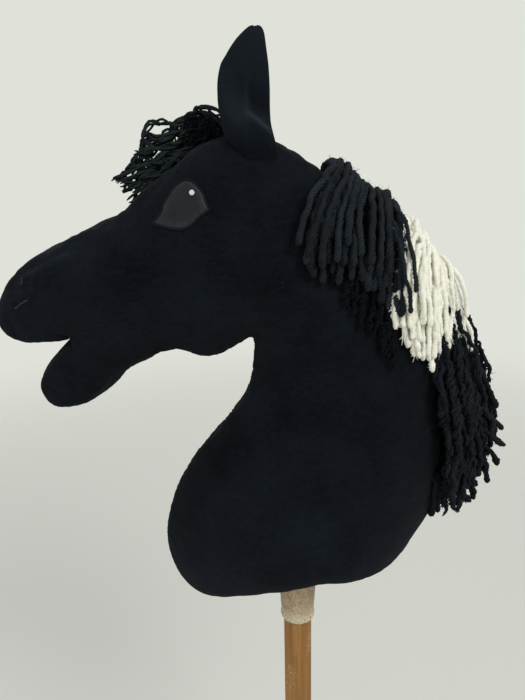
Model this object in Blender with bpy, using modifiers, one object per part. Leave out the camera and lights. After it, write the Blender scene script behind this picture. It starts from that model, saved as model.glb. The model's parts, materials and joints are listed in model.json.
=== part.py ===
"""Stuffed hobby horse: a fleece head with a yarn mane and forelock, on a wooden stick.

The head faces -X, +Z is up along the stick, and the origin is the centre of the
stick's lower end. The head is two side panels, held apart by strips of cloth along
face, mouth, chin and underside, and filled with fibre. A cloth pocket sewn into the
underside takes the stick, so the head lifts off it.
"""

import math

import bmesh
import bpy
import numpy as np
from mathutils import Vector
from mathutils.bvhtree import BVHTree
from mathutils.geometry import delaunay_2d_cdt

MM = 0.001

# Stick and pocket
STICK_DIAMETER = 25 * MM
STICK_BELOW_HEAD = 525 * MM
STICK_IN_HEAD = 210 * MM
STICK_EASED_EDGE = 1.5 * MM
POCKET_SLACK = 0.4 * MM
POCKET_WALL = 1.7 * MM
POCKET_MOUTH_FLARE = 2.2 * MM
POCKET_FULL_WIDTH = 25 * MM
POCKET_HANG = 63 * MM
POCKET_END_SLACK = 0.4 * MM
HEM_THICKNESS = 2.2 * MM
HEM_HEIGHT = 5 * MM
ROUND_STEPS = 32

# Cloth, filling and gaps
FLEECE = 1.6 * MM
SEAM_GAP = 0.4 * MM
TOUCH_GAP = 0.35 * MM
FILL_BULGE = 50 * MM
FILL_REACH = 45 * MM
GUSSET_CROWN = 0.12
BASE_CROWN = 0.10

# How finely the panels are cut into facets
SEAM_STEP = 17 * MM
FIRST_RING = 3 * MM
SECOND_RING = 9 * MM
PANEL_GRID = 20 * MM
RING_CROWDING = 0.8
GRID_CROWDING = 0.45
GUSSET_COLUMNS = 4

# Side panel outline in mm, clockwise from the corner of the mouth: x, height above
# the bare part of the stick, and half the width of the strip that is sewn on there.
MOUTH_CORNER = (-171, 204, 20)
UPPER_LIP = [(-182, 201, 20), (-194, 201, 19)]
LIP_FRONT = (-205, 203, 18)
FACE = [(-215, 206, 17), (-221, 213, 16), (-223, 223, 16), (-220, 234, 16),
        (-211, 248, 17), (-199, 259, 18), (-179, 270, 19), (-159, 278, 20),
        (-139, 287, 21), (-122, 294, 22), (-108, 309, 22), (-87, 323, 21),
        (-69, 337, 19), (-50, 344, 16), (-30, 345, 11), (-12, 340, 5)]
POLL = (0, 335, 0)
CREST = [(12, 327, 0), (23, 319, 0), (50, 301, 0), (64, 290, 0), (78, 277, 0),
         (91, 259, 0), (101, 236, 0), (108, 210, 0), (113, 180, 0), (117, 145, 0),
         (119, 115, 0), (118, 90, 0), (117, 67, 0), (114, 45, 0)]
NECK_BACK = (104, 30, 0)
UNDERSIDE = [(90, 16, 12), (74, 8, 24), (56, 4, 32), (36, 3, 37), (16, 4, 39),
             (-4, 0, 40), (-26, -4, 39), (-48, -10, 35), (-66, -17, 28),
             (-82, -21, 19), (-96, -19, 9)]
CHEST_FOOT = (-108, -7, 0)
CHEST = [(-113, 14, 0), (-112, 35, 0), (-105, 61, 0), (-96, 81, 0), (-80, 104, 0),
         (-62, 123, 0), (-47, 142, 0), (-38, 159, 0), (-35, 175, 0), (-33, 191, 0)]
THROAT = (-34, 201, 0)
JAW = [(-43, 196, 6), (-52, 191, 9), (-69, 187, 13), (-88, 194, 15), (-98, 195, 15),
       (-115, 186, 16), (-132, 179, 17), (-150, 162, 18), (-168, 151, 18),
       (-185, 149, 18), (-193, 153, 18)]
CHIN_FRONT = (-196, 160, 18)
LOWER_LIP = [(-198, 169, 18), (-190, 183, 19)]

# Planes that part the filling, as two points each in the outline's own numbers
NECK_CUT = ((-34, 201), (45, 305))
MUZZLE_CUT = ((-125, 181), (-123, 297))
MOUTH_CUT = ((-205, 192), (-124, 221))

# Ears, in mm: the foot's place is in the outline's numbers, and each row of a leaf
# is its height above the foot and how far its front and back edges lie from the middle
EAR_FOOT = (-32, 328)
EAR_FOOT_Y = 32 * MM
EAR_ROWS = [(0, -20, 20), (10, -17, 18), (22, -17, 15), (36, -18, 14), (50, -16, 14),
            (61, -12, 12), (70, -5, 9), (75, 2, 7)]
EAR_COLUMNS = 6
EAR_CUP = 9 * MM
EAR_CUP_SPAN = (0.35, 0.95)
EAR_SEAT = 24
EAR_LEAN_OUT = 0.10
EAR_CLOTH = 2.0 * MM
EAR_RIM = 2.5

# Eyes, in mm and the outline's numbers
EYE_OUTLINE = [(-97, 287), (-92, 293), (-89, 300), (-85, 306), (-81, 311), (-76, 314),
               (-71, 314), (-67, 311), (-63, 306), (-61, 300), (-59, 295), (-65, 291),
               (-72, 285), (-78, 283), (-87, 284)]
EYE_CLOTH = 1.2 * MM
GLINT_CENTRE = (-70, 306)
GLINT_RADIUS = 2.2 * MM
GLINT_CLOTH = 0.6 * MM

# Nostril stitch, in mm and the outline's numbers
NOSTRIL_ARC = [(-202, 229), (-199, 233), (-195, 236), (-190, 238)]
THREAD_RADIUS = 0.6 * MM

# Yarn: each part of the mane is a sewn row of locks along the crest seam. For its
# first and last lock a part has a length, how far it leaves the neck to the back and
# to the side, and how fast it turns down.
LOCK_RADIUS = 5.5 * MM
LOCK_CLEARANCE = 2.0 * MM
LOCK_THIN_END = 0.62
LOCK_FIRST_SWELL = 0.12
LOCK_SIDES = 5
LOCK_STEPS = 6
ROW_RADIUS = 3.0 * MM
SIDE_STAGGER = 0.2
MANE = {
    "mane_front": {"span": (0.085, 0.27), "locks": 7, "length": (84, 84),
                   "back": (0.8, 0.8), "side": (1.0, 1.0), "turn": (0.5, 0.5), "lean": -0.35},
    "mane_middle": {"span": (0.285, 0.43), "locks": 5, "length": (84, 90),
                    "back": (0.9, 0.9), "side": (0.7, 1.3), "turn": (0.45, 0.4), "lean": 0.0},
    "mane_rear": {"span": (0.445, 0.74), "locks": 7, "length": (100, 88),
                  "back": (1.5, 1.0), "side": (0.15, 0.9), "turn": (0.36, 0.4), "lean": 0.0},
}
FORELOCKS = 5
FORELOCK_LENGTH = 100 * MM
FORELOCK_SIDE_CUT = 0.12
FORELOCK_TURN = 0.36
FORELOCK_SEAT = 1.4 * MM
FORELOCK_RISE = (-0.8, 0.30, 0.9)
FORELOCK_FALL = (-1.0, 0.25, -1.1)

DOWN = Vector((0, 0, -1))
LEFT = -1
RIGHT = 1


# Scene helpers

def clear_scene():
    for obj in list(bpy.data.objects):
        bpy.data.objects.remove(obj)


def new_collection(name):
    collection = bpy.data.collections.new(name)
    bpy.context.scene.collection.children.link(collection)
    return collection


def make_material(name, colour, roughness, metallic=0.0):
    material = bpy.data.materials.new(name)
    material.use_nodes = True
    shader = material.node_tree.nodes["Principled BSDF"]
    shader.inputs["Base Color"].default_value = (*colour, 1.0)
    shader.inputs["Roughness"].default_value = roughness
    shader.inputs["Metallic"].default_value = metallic
    return material


def add_object(name, mesh, material, collection):
    obj = bpy.data.objects.new(name, mesh)
    obj.data.materials.append(material)
    collection.objects.link(obj)
    return obj


def mesh_from(bm, name):
    bmesh.ops.triangulate(bm, faces=bm.faces)
    bmesh.ops.recalc_face_normals(bm, faces=bm.faces)
    mesh = bpy.data.meshes.new(name)
    bm.to_mesh(mesh)
    bm.free()
    mesh.shade_smooth()
    return mesh


def mix(pair, share):
    """The value at a share of the way from the first of a pair to the last."""
    return pair[0] + (pair[1] - pair[0]) * share


def mark_cutter(obj):
    obj.hide_render = True
    obj.display_type = "WIRE"


def add_boolean(obj, other, operation):
    modifier = obj.modifiers.new(operation.title(), "BOOLEAN")
    modifier.operation = operation
    modifier.object = other


def turned(name, profile, material, collection):
    """A round piece from a profile of (radius, height), down its outer side."""
    mesh = bpy.data.meshes.new(name)
    edges = [(i, i + 1) for i in range(len(profile) - 1)]
    mesh.from_pydata([(radius, 0, height) for radius, height in profile], edges, [])
    obj = add_object(name, mesh, material, collection)
    screw = obj.modifiers.new("Turn", "SCREW")
    screw.steps = ROUND_STEPS
    screw.render_steps = ROUND_STEPS
    screw.use_merge_vertices = True
    screw.merge_threshold = 0.00001
    return obj


# Outline of the side panels

def place(point):
    """A point of the outline, in mm, as x, half width and height in the model."""
    x, height, half_width = point
    return Vector((x * MM, half_width * MM, STICK_BELOW_HEAD + height * MM))


def smooth_segment(before, start, end, after, steps=10):
    """Points on a smooth curve from start to just before end."""
    length = (end - start).length
    leave = (end - before) * (length / ((end - start).length + (start - before).length))
    arrive = (after - start) * (length / ((after - end).length + (end - start).length))
    points = []
    for step in range(steps):
        t = step / steps
        points.append((2 * t**3 - 3 * t**2 + 1) * start + (t**3 - 2 * t**2 + t) * leave
                      + (3 * t**2 - 2 * t**3) * end + (t**3 - t**2) * arrive)
    return points


def respace(points, step):
    """The same line with points at equal distances, both ends kept."""
    lengths = [0.0]
    for a, b in zip(points, points[1:]):
        lengths.append(lengths[-1] + (b - a).length)
    count = max(2, round(lengths[-1] / step))
    result = []
    k = 0
    for i in range(count + 1):
        target = lengths[-1] * i / count
        while k < len(lengths) - 2 and lengths[k + 1] < target:
            k += 1
        part = (target - lengths[k]) / (lengths[k + 1] - lengths[k])
        result.append(points[k].lerp(points[k + 1], part))
    return result


def outline_runs():
    """The closed outline as runs of evenly spaced points, one run for each seam."""
    plan = [("lip_top", MOUTH_CORNER, UPPER_LIP), ("face", LIP_FRONT, FACE),
            ("crest", POLL, CREST), ("base", NECK_BACK, UNDERSIDE),
            ("chest", CHEST_FOOT, CHEST), ("jaw", THROAT, JAW),
            ("lip_low", CHIN_FRONT, LOWER_LIP)]
    corners = (MOUTH_CORNER, THROAT)
    loop = []
    for name, first, rest in plan:
        loop += [(name, point) for point in [first] + rest]
    lines = {name: [] for name, _, _ in plan}
    for i, (name, point) in enumerate(loop):
        following = loop[(i + 1) % len(loop)][1]
        before = point if point in corners else loop[i - 1][1]
        after = following if following in corners else loop[(i + 2) % len(loop)][1]
        ends = [place(p) for p in (before, point, following, after)]
        lines[name] += smooth_segment(*ends)
    names = [name for name, _, _ in plan]
    for name, following in zip(names, names[1:] + names[:1]):
        lines[name].append(lines[following][0].copy())
    return {name: respace(lines[name], SEAM_STEP) for name in names}


# The filled skin: one closed surface of all the panels, which the pieces are cut from

def distance_to_outline(points, outline):
    """Least distance from each point to a closed outline, both as arrays of x and z."""
    nearest = np.full(len(points), np.inf)
    for a, b in zip(outline, np.roll(outline, -1, axis=0)):
        along = np.clip(((points - a) @ (b - a)) / ((b - a) @ (b - a)), 0, 1)
        nearest = np.minimum(nearest, np.linalg.norm(points - a - np.outer(along, b - a), axis=1))
    return nearest


def inside_outline(points, outline):
    inside = np.zeros(len(points), bool)
    for (ax, az), (bx, bz) in zip(outline, np.roll(outline, -1, axis=0)):
        between = (az > points[:, 1]) != (bz > points[:, 1])
        if az != bz:
            crossing = ax + (points[:, 1] - az) * (bx - ax) / (bz - az)
            inside ^= between & (points[:, 0] < crossing)
    return inside


def outward_directions(outline):
    """Direction out of the panel at each point of the outline, in x and z."""
    along = np.roll(outline, -1, axis=0) - np.roll(outline, 1, axis=0)
    out = np.column_stack((-along[:, 1], along[:, 0]))
    return out / np.linalg.norm(out, axis=1)[:, None]


def panel_points(outline):
    """Inner points of a panel: two rings that follow the seam, then an even grid."""
    out = outward_directions(outline)
    kept = []
    for depth in (FIRST_RING, SECOND_RING):
        ring = outline - out * depth
        clear = distance_to_outline(ring, outline) > RING_CROWDING * depth
        kept.append(ring[inside_outline(ring, outline) & clear])
    low = outline.min(axis=0)
    high = outline.max(axis=0)
    rows = []
    row_height = PANEL_GRID * math.sqrt(3) / 2
    for row in range(int((high[1] - low[1]) / row_height) + 1):
        shift = PANEL_GRID / 2 * (row % 2)
        count = int((high[0] - low[0]) / PANEL_GRID) + 1
        rows += [(low[0] + shift + PANEL_GRID * i, low[1] + row_height * row) for i in range(count)]
    grid = np.array(rows)
    deep = distance_to_outline(grid, outline) > SECOND_RING + GRID_CROWDING * PANEL_GRID
    kept.append(grid[inside_outline(grid, outline) & deep])
    return np.vstack(kept)


def solve_over_panel(points, triangles, rim_values, source=0.0, reach=math.inf):
    """Smooth field over a flat panel with given values on its rim.

    With a reach, the field also rises towards source within that distance of the rim.
    """
    count = len(points)
    stiffness = np.zeros((count, count))
    area = np.zeros(count)
    for triangle in triangles:
        for k in range(3):
            a, b, c = (triangle[(k + j) % 3] for j in range(3))
            u = points[b] - points[a]
            v = points[c] - points[a]
            double_area = abs(u[0] * v[1] - u[1] * v[0])
            area[a] += double_area / 6
            weight = (u @ v) / double_area / 2
            stiffness[b, c] -= weight
            stiffness[c, b] -= weight
            stiffness[b, b] += weight
            stiffness[c, c] += weight
    pull = area / reach**2
    stiffness[np.diag_indices(count)] += pull
    rim = len(rim_values)
    load = pull[rim:] * source - stiffness[rim:, :rim] @ rim_values
    inner = np.linalg.solve(stiffness[rim:, rim:], load)
    return np.concatenate((rim_values, inner))


class Skin:
    """Outer surface of the filled head, with each face marked by the panel it is in."""

    strips = {"face_gusset": ("face",), "mouth_lining": ("lip_low", "lip_top"),
              "chin_gusset": ("jaw",), "base_panel": ("base",)}
    panels = ["side_panel_left", "side_panel_right", *strips]

    def __init__(self):
        self.runs = outline_runs()
        self.mesh = bmesh.new()
        self.panel_of = self.mesh.faces.layers.int.new("panel")
        self.index = {}
        self.strip_rows = {}
        seam = []
        for name, line in self.runs.items():
            self.index[name] = range(len(seam), len(seam) + len(line))
            seam += line[:-1]
        self.seam = seam
        self.outline = np.array([(p.x, p.z) for p in seam])
        self.out = outward_directions(self.outline)
        self.add_side_panels()
        for name, runs in self.strips.items():
            self.add_strip(name, runs)
        bmesh.ops.recalc_face_normals(self.mesh, faces=self.mesh.faces)
        self.mesh.normal_update()
        self.tree = BVHTree.FromBMesh(self.mesh)

    def direction(self, i):
        """Direction out of the head, in its middle plane, at one point of the seam."""
        x, z = self.out[i % len(self.out)]
        return Vector((x, 0, z))

    def add_face(self, vertices, panel):
        corners = list(dict.fromkeys(vertices))
        if len(corners) > 2:
            face = self.mesh.faces.new(corners)
            face[self.panel_of] = self.panels.index(panel)

    def add_side_panels(self):
        rim = len(self.seam)
        flat = np.vstack((self.outline, panel_points(self.outline)))
        edges = [(i, (i + 1) % rim) for i in range(rim)]
        vectors = [Vector(point) for point in flat]
        result = delaunay_2d_cdt(vectors, edges, [], 1, 1e-7)
        triangles = [face for face in result[2] if len(face) == 3]
        half_widths = np.array([point.y for point in self.seam])
        spread = solve_over_panel(flat, triangles, half_widths)
        rise = solve_over_panel(flat, triangles, np.zeros(rim), 1.0, FILL_REACH)
        half = spread + FILL_BULGE * np.sqrt(np.clip(rise, 0, 1))
        self.left = []
        self.right = []
        for i, (x, z) in enumerate(flat):
            left = self.mesh.verts.new((x, -half[i], z))
            self.left.append(left)
            on_middle = i < rim and half[i] < SEAM_GAP
            if on_middle:
                left.co.y = 0
            self.right.append(left if on_middle else self.mesh.verts.new((x, half[i], z)))
        for triangle in triangles:
            self.add_face([self.left[i] for i in triangle], "side_panel_left")
            self.add_face([self.right[i] for i in triangle], "side_panel_right")

    def strip_row(self, i, crown):
        """Points across a strip at one place of the seam, left to right."""
        i %= len(self.seam)
        if i in self.strip_rows:
            return self.strip_rows[i]
        left = self.left[i]
        right = self.right[i]
        row = [left]
        for column in range(1, GUSSET_COLUMNS):
            across = 2 * column / GUSSET_COLUMNS - 1
            lift = self.direction(i) * (self.seam[i].y * crown * (1 - across**2))
            level = Vector((self.seam[i].x, self.seam[i].y * across, self.seam[i].z))
            row.append(left if left is right else self.mesh.verts.new(level + lift))
        row.append(right)
        self.strip_rows[i] = row
        return row

    def add_strip(self, name, runs):
        crown = BASE_CROWN if name == "base_panel" else GUSSET_CROWN
        for run in runs:
            indices = list(self.index[run])
            for i, following in zip(indices, indices[1:]):
                row = self.strip_row(i, crown)
                ahead = self.strip_row(following, crown)
                for k in range(GUSSET_COLUMNS):
                    self.add_face([row[k], row[k + 1], ahead[k + 1], ahead[k]], name)

    def surface(self, x, z, side):
        """Point and direction of the skin at x and z on one side of the head."""
        start = Vector((x, side * 1.0, z))
        point, normal, _, _ = self.tree.ray_cast(start, Vector((0, -side, 0)))
        return point, normal

    def clear(self, point, distance):
        """The point, moved out of the skin until it is that far from it."""
        nearest, normal, _, _ = self.tree.find_nearest(point)
        away = (point - nearest).dot(normal)
        if away < distance:
            return nearest + normal * distance
        return point

    def crest_at(self, share):
        """Place on the crest seam, and the direction out of the neck there."""
        line = self.runs["crest"]
        spot = share * (len(line) - 1)
        k = min(int(spot), len(line) - 2)
        i = self.index["crest"][k]
        out = self.direction(i).lerp(self.direction(i + 1), spot - k)
        point = line[k].lerp(line[k + 1], spot - k)
        return Vector((point.x, 0, point.z)), out.normalized()


def thicken(bm, normals, thickness):
    """Give an open sheet a second face, along the normal kept for each of its places."""
    result = bmesh.ops.extrude_face_region(bm, geom=bm.faces[:], use_keep_orig=True)
    for item in result["geom"]:
        if isinstance(item, bmesh.types.BMVert):
            item.co += normals[item.co.copy().freeze()] * thickness


def panel_piece(skin, name, material, collection):
    """One panel as cloth: its part of the skin, drawn in at the seams and given thickness."""
    number = skin.panels.index(name)
    panel_of = skin.panel_of
    bm = bmesh.new()
    copies = {}
    normals = {}
    for face in skin.mesh.faces:
        if face[panel_of] != number:
            continue
        for vertex in face.verts:
            if vertex in copies:
                continue
            place_in = vertex.co.copy()
            own = [f for f in vertex.link_faces if f[panel_of] == number]
            if len(own) < len(vertex.link_faces):
                centre = sum((f.calc_center_median() for f in own), Vector()) / len(own)
                seams = [e.other_vert(vertex).co for e in vertex.link_edges
                         if len({f[panel_of] for f in e.link_faces}) > 1]
                inward = centre - vertex.co
                if len(seams) == 2:
                    along = (seams[1] - seams[0]).normalized()
                    inward -= along * inward.dot(along)
                place_in += inward.normalized() * (SEAM_GAP / 2)
            copies[vertex] = bm.verts.new(place_in)
            normals[copies[vertex].co.copy().freeze()] = vertex.normal.copy()
        bm.faces.new([copies[vertex] for vertex in face.verts])
    thicken(bm, normals, -FLEECE)
    return add_object(name, mesh_from(bm, name), material, collection)


# Filling

def filling_surface(skin):
    bm = skin.mesh.copy()
    bm.normal_update()
    moves = [(vertex, vertex.normal * (FLEECE + TOUCH_GAP)) for vertex in bm.verts]
    for vertex, move in moves:
        vertex.co -= move
    return bm


def cut_plane(points):
    """A point on the plane through two points of the outline, and the plane's direction."""
    first = place((*points[0], 0))
    second = place((*points[1], 0))
    along = (second - first).normalized()
    return first, Vector((-along.z, 0, along.x))


def keep_side(bm, points, side):
    """The part of a closed solid on one side of a plane, closed again at the cut."""
    origin, direction = cut_plane(points)
    part = bm.copy()
    away = direction * side
    everything = part.verts[:] + part.edges[:] + part.faces[:]
    cut = bmesh.ops.bisect_plane(part, geom=everything, dist=1e-7, clear_outer=True,
                                 plane_co=origin - away * (TOUCH_GAP / 2), plane_no=away)
    edges = [item for item in cut["geom_cut"] if isinstance(item, bmesh.types.BMEdge)]
    bmesh.ops.holes_fill(part, edges=edges, sides=0)
    bmesh.ops.dissolve_degenerate(part, edges=part.edges, dist=1e-6)
    return part


def build_filling(skin, material, collection, pocket_cutter):
    whole = filling_surface(skin)
    neck = keep_side(whole, NECK_CUT, 1)
    head = keep_side(whole, NECK_CUT, -1)
    cheek = keep_side(head, MUZZLE_CUT, 1)
    front = keep_side(head, MUZZLE_CUT, -1)
    muzzle = keep_side(front, MOUTH_CUT, -1)
    lip = keep_side(front, MOUTH_CUT, 1)
    for bm in (whole, head, front):
        bm.free()
    parts = {"neck_stuffing": neck, "cheek_stuffing": cheek,
             "muzzle_stuffing": muzzle, "lip_stuffing": lip}
    for name, bm in parts.items():
        obj = add_object(name, mesh_from(bm, name), material, collection)
        if name == "neck_stuffing":
            add_boolean(obj, pocket_cutter, "DIFFERENCE")


# Stick and pocket

def build_stick(material, collection):
    radius = STICK_DIAMETER / 2
    top = STICK_BELOW_HEAD + STICK_IN_HEAD
    edge = STICK_EASED_EDGE
    profile = [(0, top), (radius - edge, top)]
    profile += [(radius - edge + edge * math.sin(a), top - edge + edge * math.cos(a))
                for a in (math.pi / 4, math.pi / 2)]
    profile += [(radius, edge), (radius - edge, 0), (0, 0)]
    return turned("stick", profile, material, collection)


def pocket_sizes():
    inner = STICK_DIAMETER / 2 + POCKET_SLACK
    outer = inner + POCKET_WALL
    top = STICK_BELOW_HEAD + STICK_IN_HEAD + POCKET_END_SLACK
    return inner, outer, top


def build_pocket(material, collection):
    inner, outer, top = pocket_sizes()
    base = STICK_BELOW_HEAD
    hem = base - POCKET_HANG
    full = outer + POCKET_MOUTH_FLARE
    roll = HEM_HEIGHT / 2
    profile = [(0, top + POCKET_WALL), (outer - 2 * POCKET_WALL, top + POCKET_WALL),
               (outer, top - POCKET_WALL), (outer, base + 2 * POCKET_MOUTH_FLARE),
               (full, base - POCKET_MOUTH_FLARE), (full, base - POCKET_FULL_WIDTH),
               (outer, hem + 2.5 * HEM_HEIGHT), (outer, hem + HEM_HEIGHT)]
    for k in range(6):
        a = math.radians(60 - 30 * k)
        bulge = HEM_THICKNESS / 2 * (1 + math.cos(a))
        profile.append((inner + bulge, hem + roll * (1 + math.sin(a))))
    profile += [(inner, hem + roll), (inner, top), (0, top)]
    return turned("stick_pocket", profile, material, collection)


def build_pocket_cutter(material, collection):
    """What the pocket needs in the filling and the underside."""
    _, outer, top = pocket_sizes()
    narrow = outer + TOUCH_GAP
    wide = narrow + POCKET_MOUTH_FLARE
    base = STICK_BELOW_HEAD
    lid = top + POCKET_WALL + TOUCH_GAP
    profile = [(0, lid), (narrow, lid), (narrow, base + 4 * POCKET_MOUTH_FLARE),
               (wide, base + 2 * POCKET_MOUTH_FLARE), (wide, base - POCKET_HANG),
               (0, base - POCKET_HANG)]
    cutter = turned("pocket_space", profile, material, collection)
    mark_cutter(cutter)
    return cutter


# Ears

def ear_leaf(skin, side, name, inset, layer, material, collection):
    """One cupped leaf of an ear, with its foot against the side of the head."""
    foot_z = STICK_BELOW_HEAD + EAR_FOOT[1] * MM
    tip = EAR_ROWS[-1][0]
    bm = bmesh.new()
    rows = []
    for height, front, back in EAR_ROWS:
        seated = max(0.0, 1 - height / EAR_SEAT)
        z = STICK_BELOW_HEAD + (EAR_FOOT[1] + height * (1 - inset / tip)) * MM
        row = []
        for column in range(EAR_COLUMNS + 1):
            share = column / EAR_COLUMNS
            edge = front + inset + (back - front - 2 * inset) * share
            x = (EAR_FOOT[0] + edge) * MM
            deep = math.sin(math.pi * mix(EAR_CUP_SPAN, height / tip))
            cup = EAR_CUP * (1 - (2 * share - 1)**2) * deep
            free = EAR_FOOT_Y + EAR_LEAN_OUT * height * MM - cup
            on_head = abs(skin.surface(x, foot_z, side)[0].y)
            y = free * (1 - seated) + on_head * seated + layer
            row.append(skin.clear(Vector((x, side * y, z)), layer + EAR_CLOTH / 2 + 2 * TOUCH_GAP))
        rows.append([bm.verts.new(point) for point in row])
    for lower, upper in zip(rows, rows[1:]):
        for k in range(EAR_COLUMNS):
            bm.faces.new((lower[k], lower[k + 1], upper[k + 1], upper[k]))
    obj = add_object(name, mesh_from(bm, name), material, collection)
    shell = obj.modifiers.new("Cloth", "SOLIDIFY")
    shell.thickness = EAR_CLOTH
    shell.offset = 0
    return obj


def build_ear(skin, side, tag, material, collection):
    ear_leaf(skin, side, "ear_outer_" + tag, 0.0, 0.0, material, collection)
    over = EAR_CLOTH + 2 * TOUCH_GAP
    ear_leaf(skin, side, "ear_inner_" + tag, EAR_RIM, over, material, collection)


# Eyes and nostrils

def patch_on_skin(skin, name, outline, lift, thickness, side, material, collection, cutters):
    """Cloth of one thickness that lies on a side panel, cut to an outline in x and z."""
    panel = skin.panels.index("side_panel_left" if side == LEFT else "side_panel_right")
    low = Vector((min(x for x, _ in outline), 0, min(z for _, z in outline)))
    high = Vector((max(x for x, _ in outline), 0, max(z for _, z in outline)))
    margin = 2 * PANEL_GRID
    bm = bmesh.new()
    copies = {}
    for face in skin.mesh.faces:
        centre = face.calc_center_median()
        near = (low.x - margin < centre.x < high.x + margin
                and low.z - margin < centre.z < high.z + margin)
        if face[skin.panel_of] != panel or not near:
            continue
        for vertex in face.verts:
            if vertex not in copies:
                copies[vertex] = bm.verts.new(vertex.co + vertex.normal * lift)
        bm.faces.new([copies[vertex] for vertex in face.verts])
    normals = {copy.co.copy().freeze(): vertex.normal.copy() for vertex, copy in copies.items()}
    thicken(bm, normals, thickness)
    obj = add_object(name, mesh_from(bm, name), material, collection)
    stamp = bmesh.new()
    outside = 4 * FILL_BULGE
    ring = [stamp.verts.new((x, side * outside, z)) for x, z in outline]
    face = stamp.faces.new(ring)
    pushed = bmesh.ops.extrude_face_region(stamp, geom=[face], use_keep_orig=True)
    moved = [item for item in pushed["geom"] if isinstance(item, bmesh.types.BMVert)]
    bmesh.ops.translate(stamp, verts=moved, vec=(0, -side * outside, 0))
    cutter = add_object(name + "_shape", mesh_from(stamp, name + "_shape"), material, cutters)
    mark_cutter(cutter)
    add_boolean(obj, cutter, "INTERSECT")
    return obj


def spot(point):
    x, height = point
    return x * MM, STICK_BELOW_HEAD + height * MM


def build_eye(skin, side, tag, eye_material, glint_material, collection, cutters):
    outline = [spot(point) for point in EYE_OUTLINE]
    patch_on_skin(skin, "eye_" + tag, outline, TOUCH_GAP, EYE_CLOTH, side,
                  eye_material, collection, cutters)
    x, z = spot(GLINT_CENTRE)
    ring = [(x + GLINT_RADIUS * math.cos(a), z + GLINT_RADIUS * math.sin(a))
            for a in (math.tau * k / 12 for k in range(12))]
    patch_on_skin(skin, "eye_glint_" + tag, ring, 2 * TOUCH_GAP + EYE_CLOTH, GLINT_CLOTH, side,
                  glint_material, collection, cutters)


def build_nostril(skin, side, tag, material, collection):
    curve = bpy.data.curves.new("nostril_" + tag, "CURVE")
    curve.dimensions = "3D"
    curve.bevel_depth = THREAD_RADIUS
    curve.bevel_resolution = 1
    curve.use_fill_caps = True
    spline = curve.splines.new("POLY")
    spline.points.add(len(NOSTRIL_ARC) - 1)
    for point, target in zip(spline.points, NOSTRIL_ARC):
        x, z = spot(target)
        on_skin, normal = skin.surface(x, z, side)
        lifted = on_skin + normal * (THREAD_RADIUS + 2 * TOUCH_GAP)
        point.co = (*lifted, 1)
    return add_object("nostril_" + tag, curve, material, collection)


# Yarn

def lock_line(skin, root, direction, fall, length, turn_rate):
    """Middle line of a lock that leaves its root, bends over and hangs clear of the skin."""
    step = length / LOCK_STEPS
    line = [root]
    heading = direction.normalized()
    for _ in range(LOCK_STEPS):
        heading = heading.lerp(fall, turn_rate).normalized()
        line.append(skin.clear(line[-1] + heading * step, LOCK_RADIUS + LOCK_CLEARANCE))
    return line


def tube(bm, line, radii):
    """A closed tube of changing radius round a line."""
    rings = []
    side_hint = Vector((0, 1, 0))
    for i, centre in enumerate(line):
        ahead = line[min(i + 1, len(line) - 1)] - line[max(i - 1, 0)]
        across = ahead.cross(side_hint).normalized()
        up = across.cross(ahead).normalized()
        ring = []
        for k in range(LOCK_SIDES):
            a = math.tau * k / LOCK_SIDES
            ring.append(bm.verts.new(centre + (across * math.cos(a) + up * math.sin(a)) * radii[i]))
        rings.append(ring)
    for ring, following in zip(rings, rings[1:]):
        for k in range(LOCK_SIDES):
            j = (k + 1) % LOCK_SIDES
            bm.faces.new((ring[k], ring[j], following[j], following[k]))
    bm.faces.new(rings[0])
    bm.faces.new(rings[-1])


def lock_radii():
    """Thick in the middle of the lock and narrower at both ends."""
    swell = [math.sin(math.pi * min(1, i / LOCK_STEPS + LOCK_FIRST_SWELL))
             for i in range(LOCK_STEPS + 1)]
    return [LOCK_RADIUS * mix((LOCK_THIN_END, 1), share) for share in swell]


def build_yarn(name, row_line, lock_lines, material, collection, cutters):
    """A sewn row with its locks, joined into one piece."""
    row = bmesh.new()
    tube(row, row_line, [ROW_RADIUS] * len(row_line))
    obj = add_object(name, mesh_from(row, name), material, collection)
    for number, line in enumerate(lock_lines):
        lock = bmesh.new()
        tube(lock, line, lock_radii())
        lock_name = f"{name}_lock_{number + 1}"
        other = add_object(lock_name, mesh_from(lock, lock_name), material, cutters)
        mark_cutter(other)
        add_boolean(obj, other, "UNION")
    return obj


def build_mane(skin, name, plan, material, collection, cutters):
    """Locks on both sides of a stretch of the crest seam."""
    seat = ROW_RADIUS + 2 * TOUCH_GAP
    locks = plan["locks"]
    row_line = []
    for k in range(locks + 2):
        point, out = skin.crest_at(mix(plan["span"], k / (locks + 1)))
        row_line.append(point + out * seat)
    lines = []
    for side in (LEFT, RIGHT):
        for k in range(locks):
            share = (k + 0.5 + SIDE_STAGGER * side) / locks
            point, out = skin.crest_at(mix(plan["span"], share))
            leave = out * mix(plan["back"], share) + Vector((0, side * mix(plan["side"], share), 0))
            fall = (DOWN + Vector((plan["lean"] * (1 - share), 0, 0))).normalized()
            length = mix(plan["length"], share) * MM
            turn = mix(plan["turn"], share)
            lines.append(lock_line(skin, point + out * seat, leave, fall, length, turn))
    return build_yarn(name, row_line, lines, material, collection, cutters)


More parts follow.
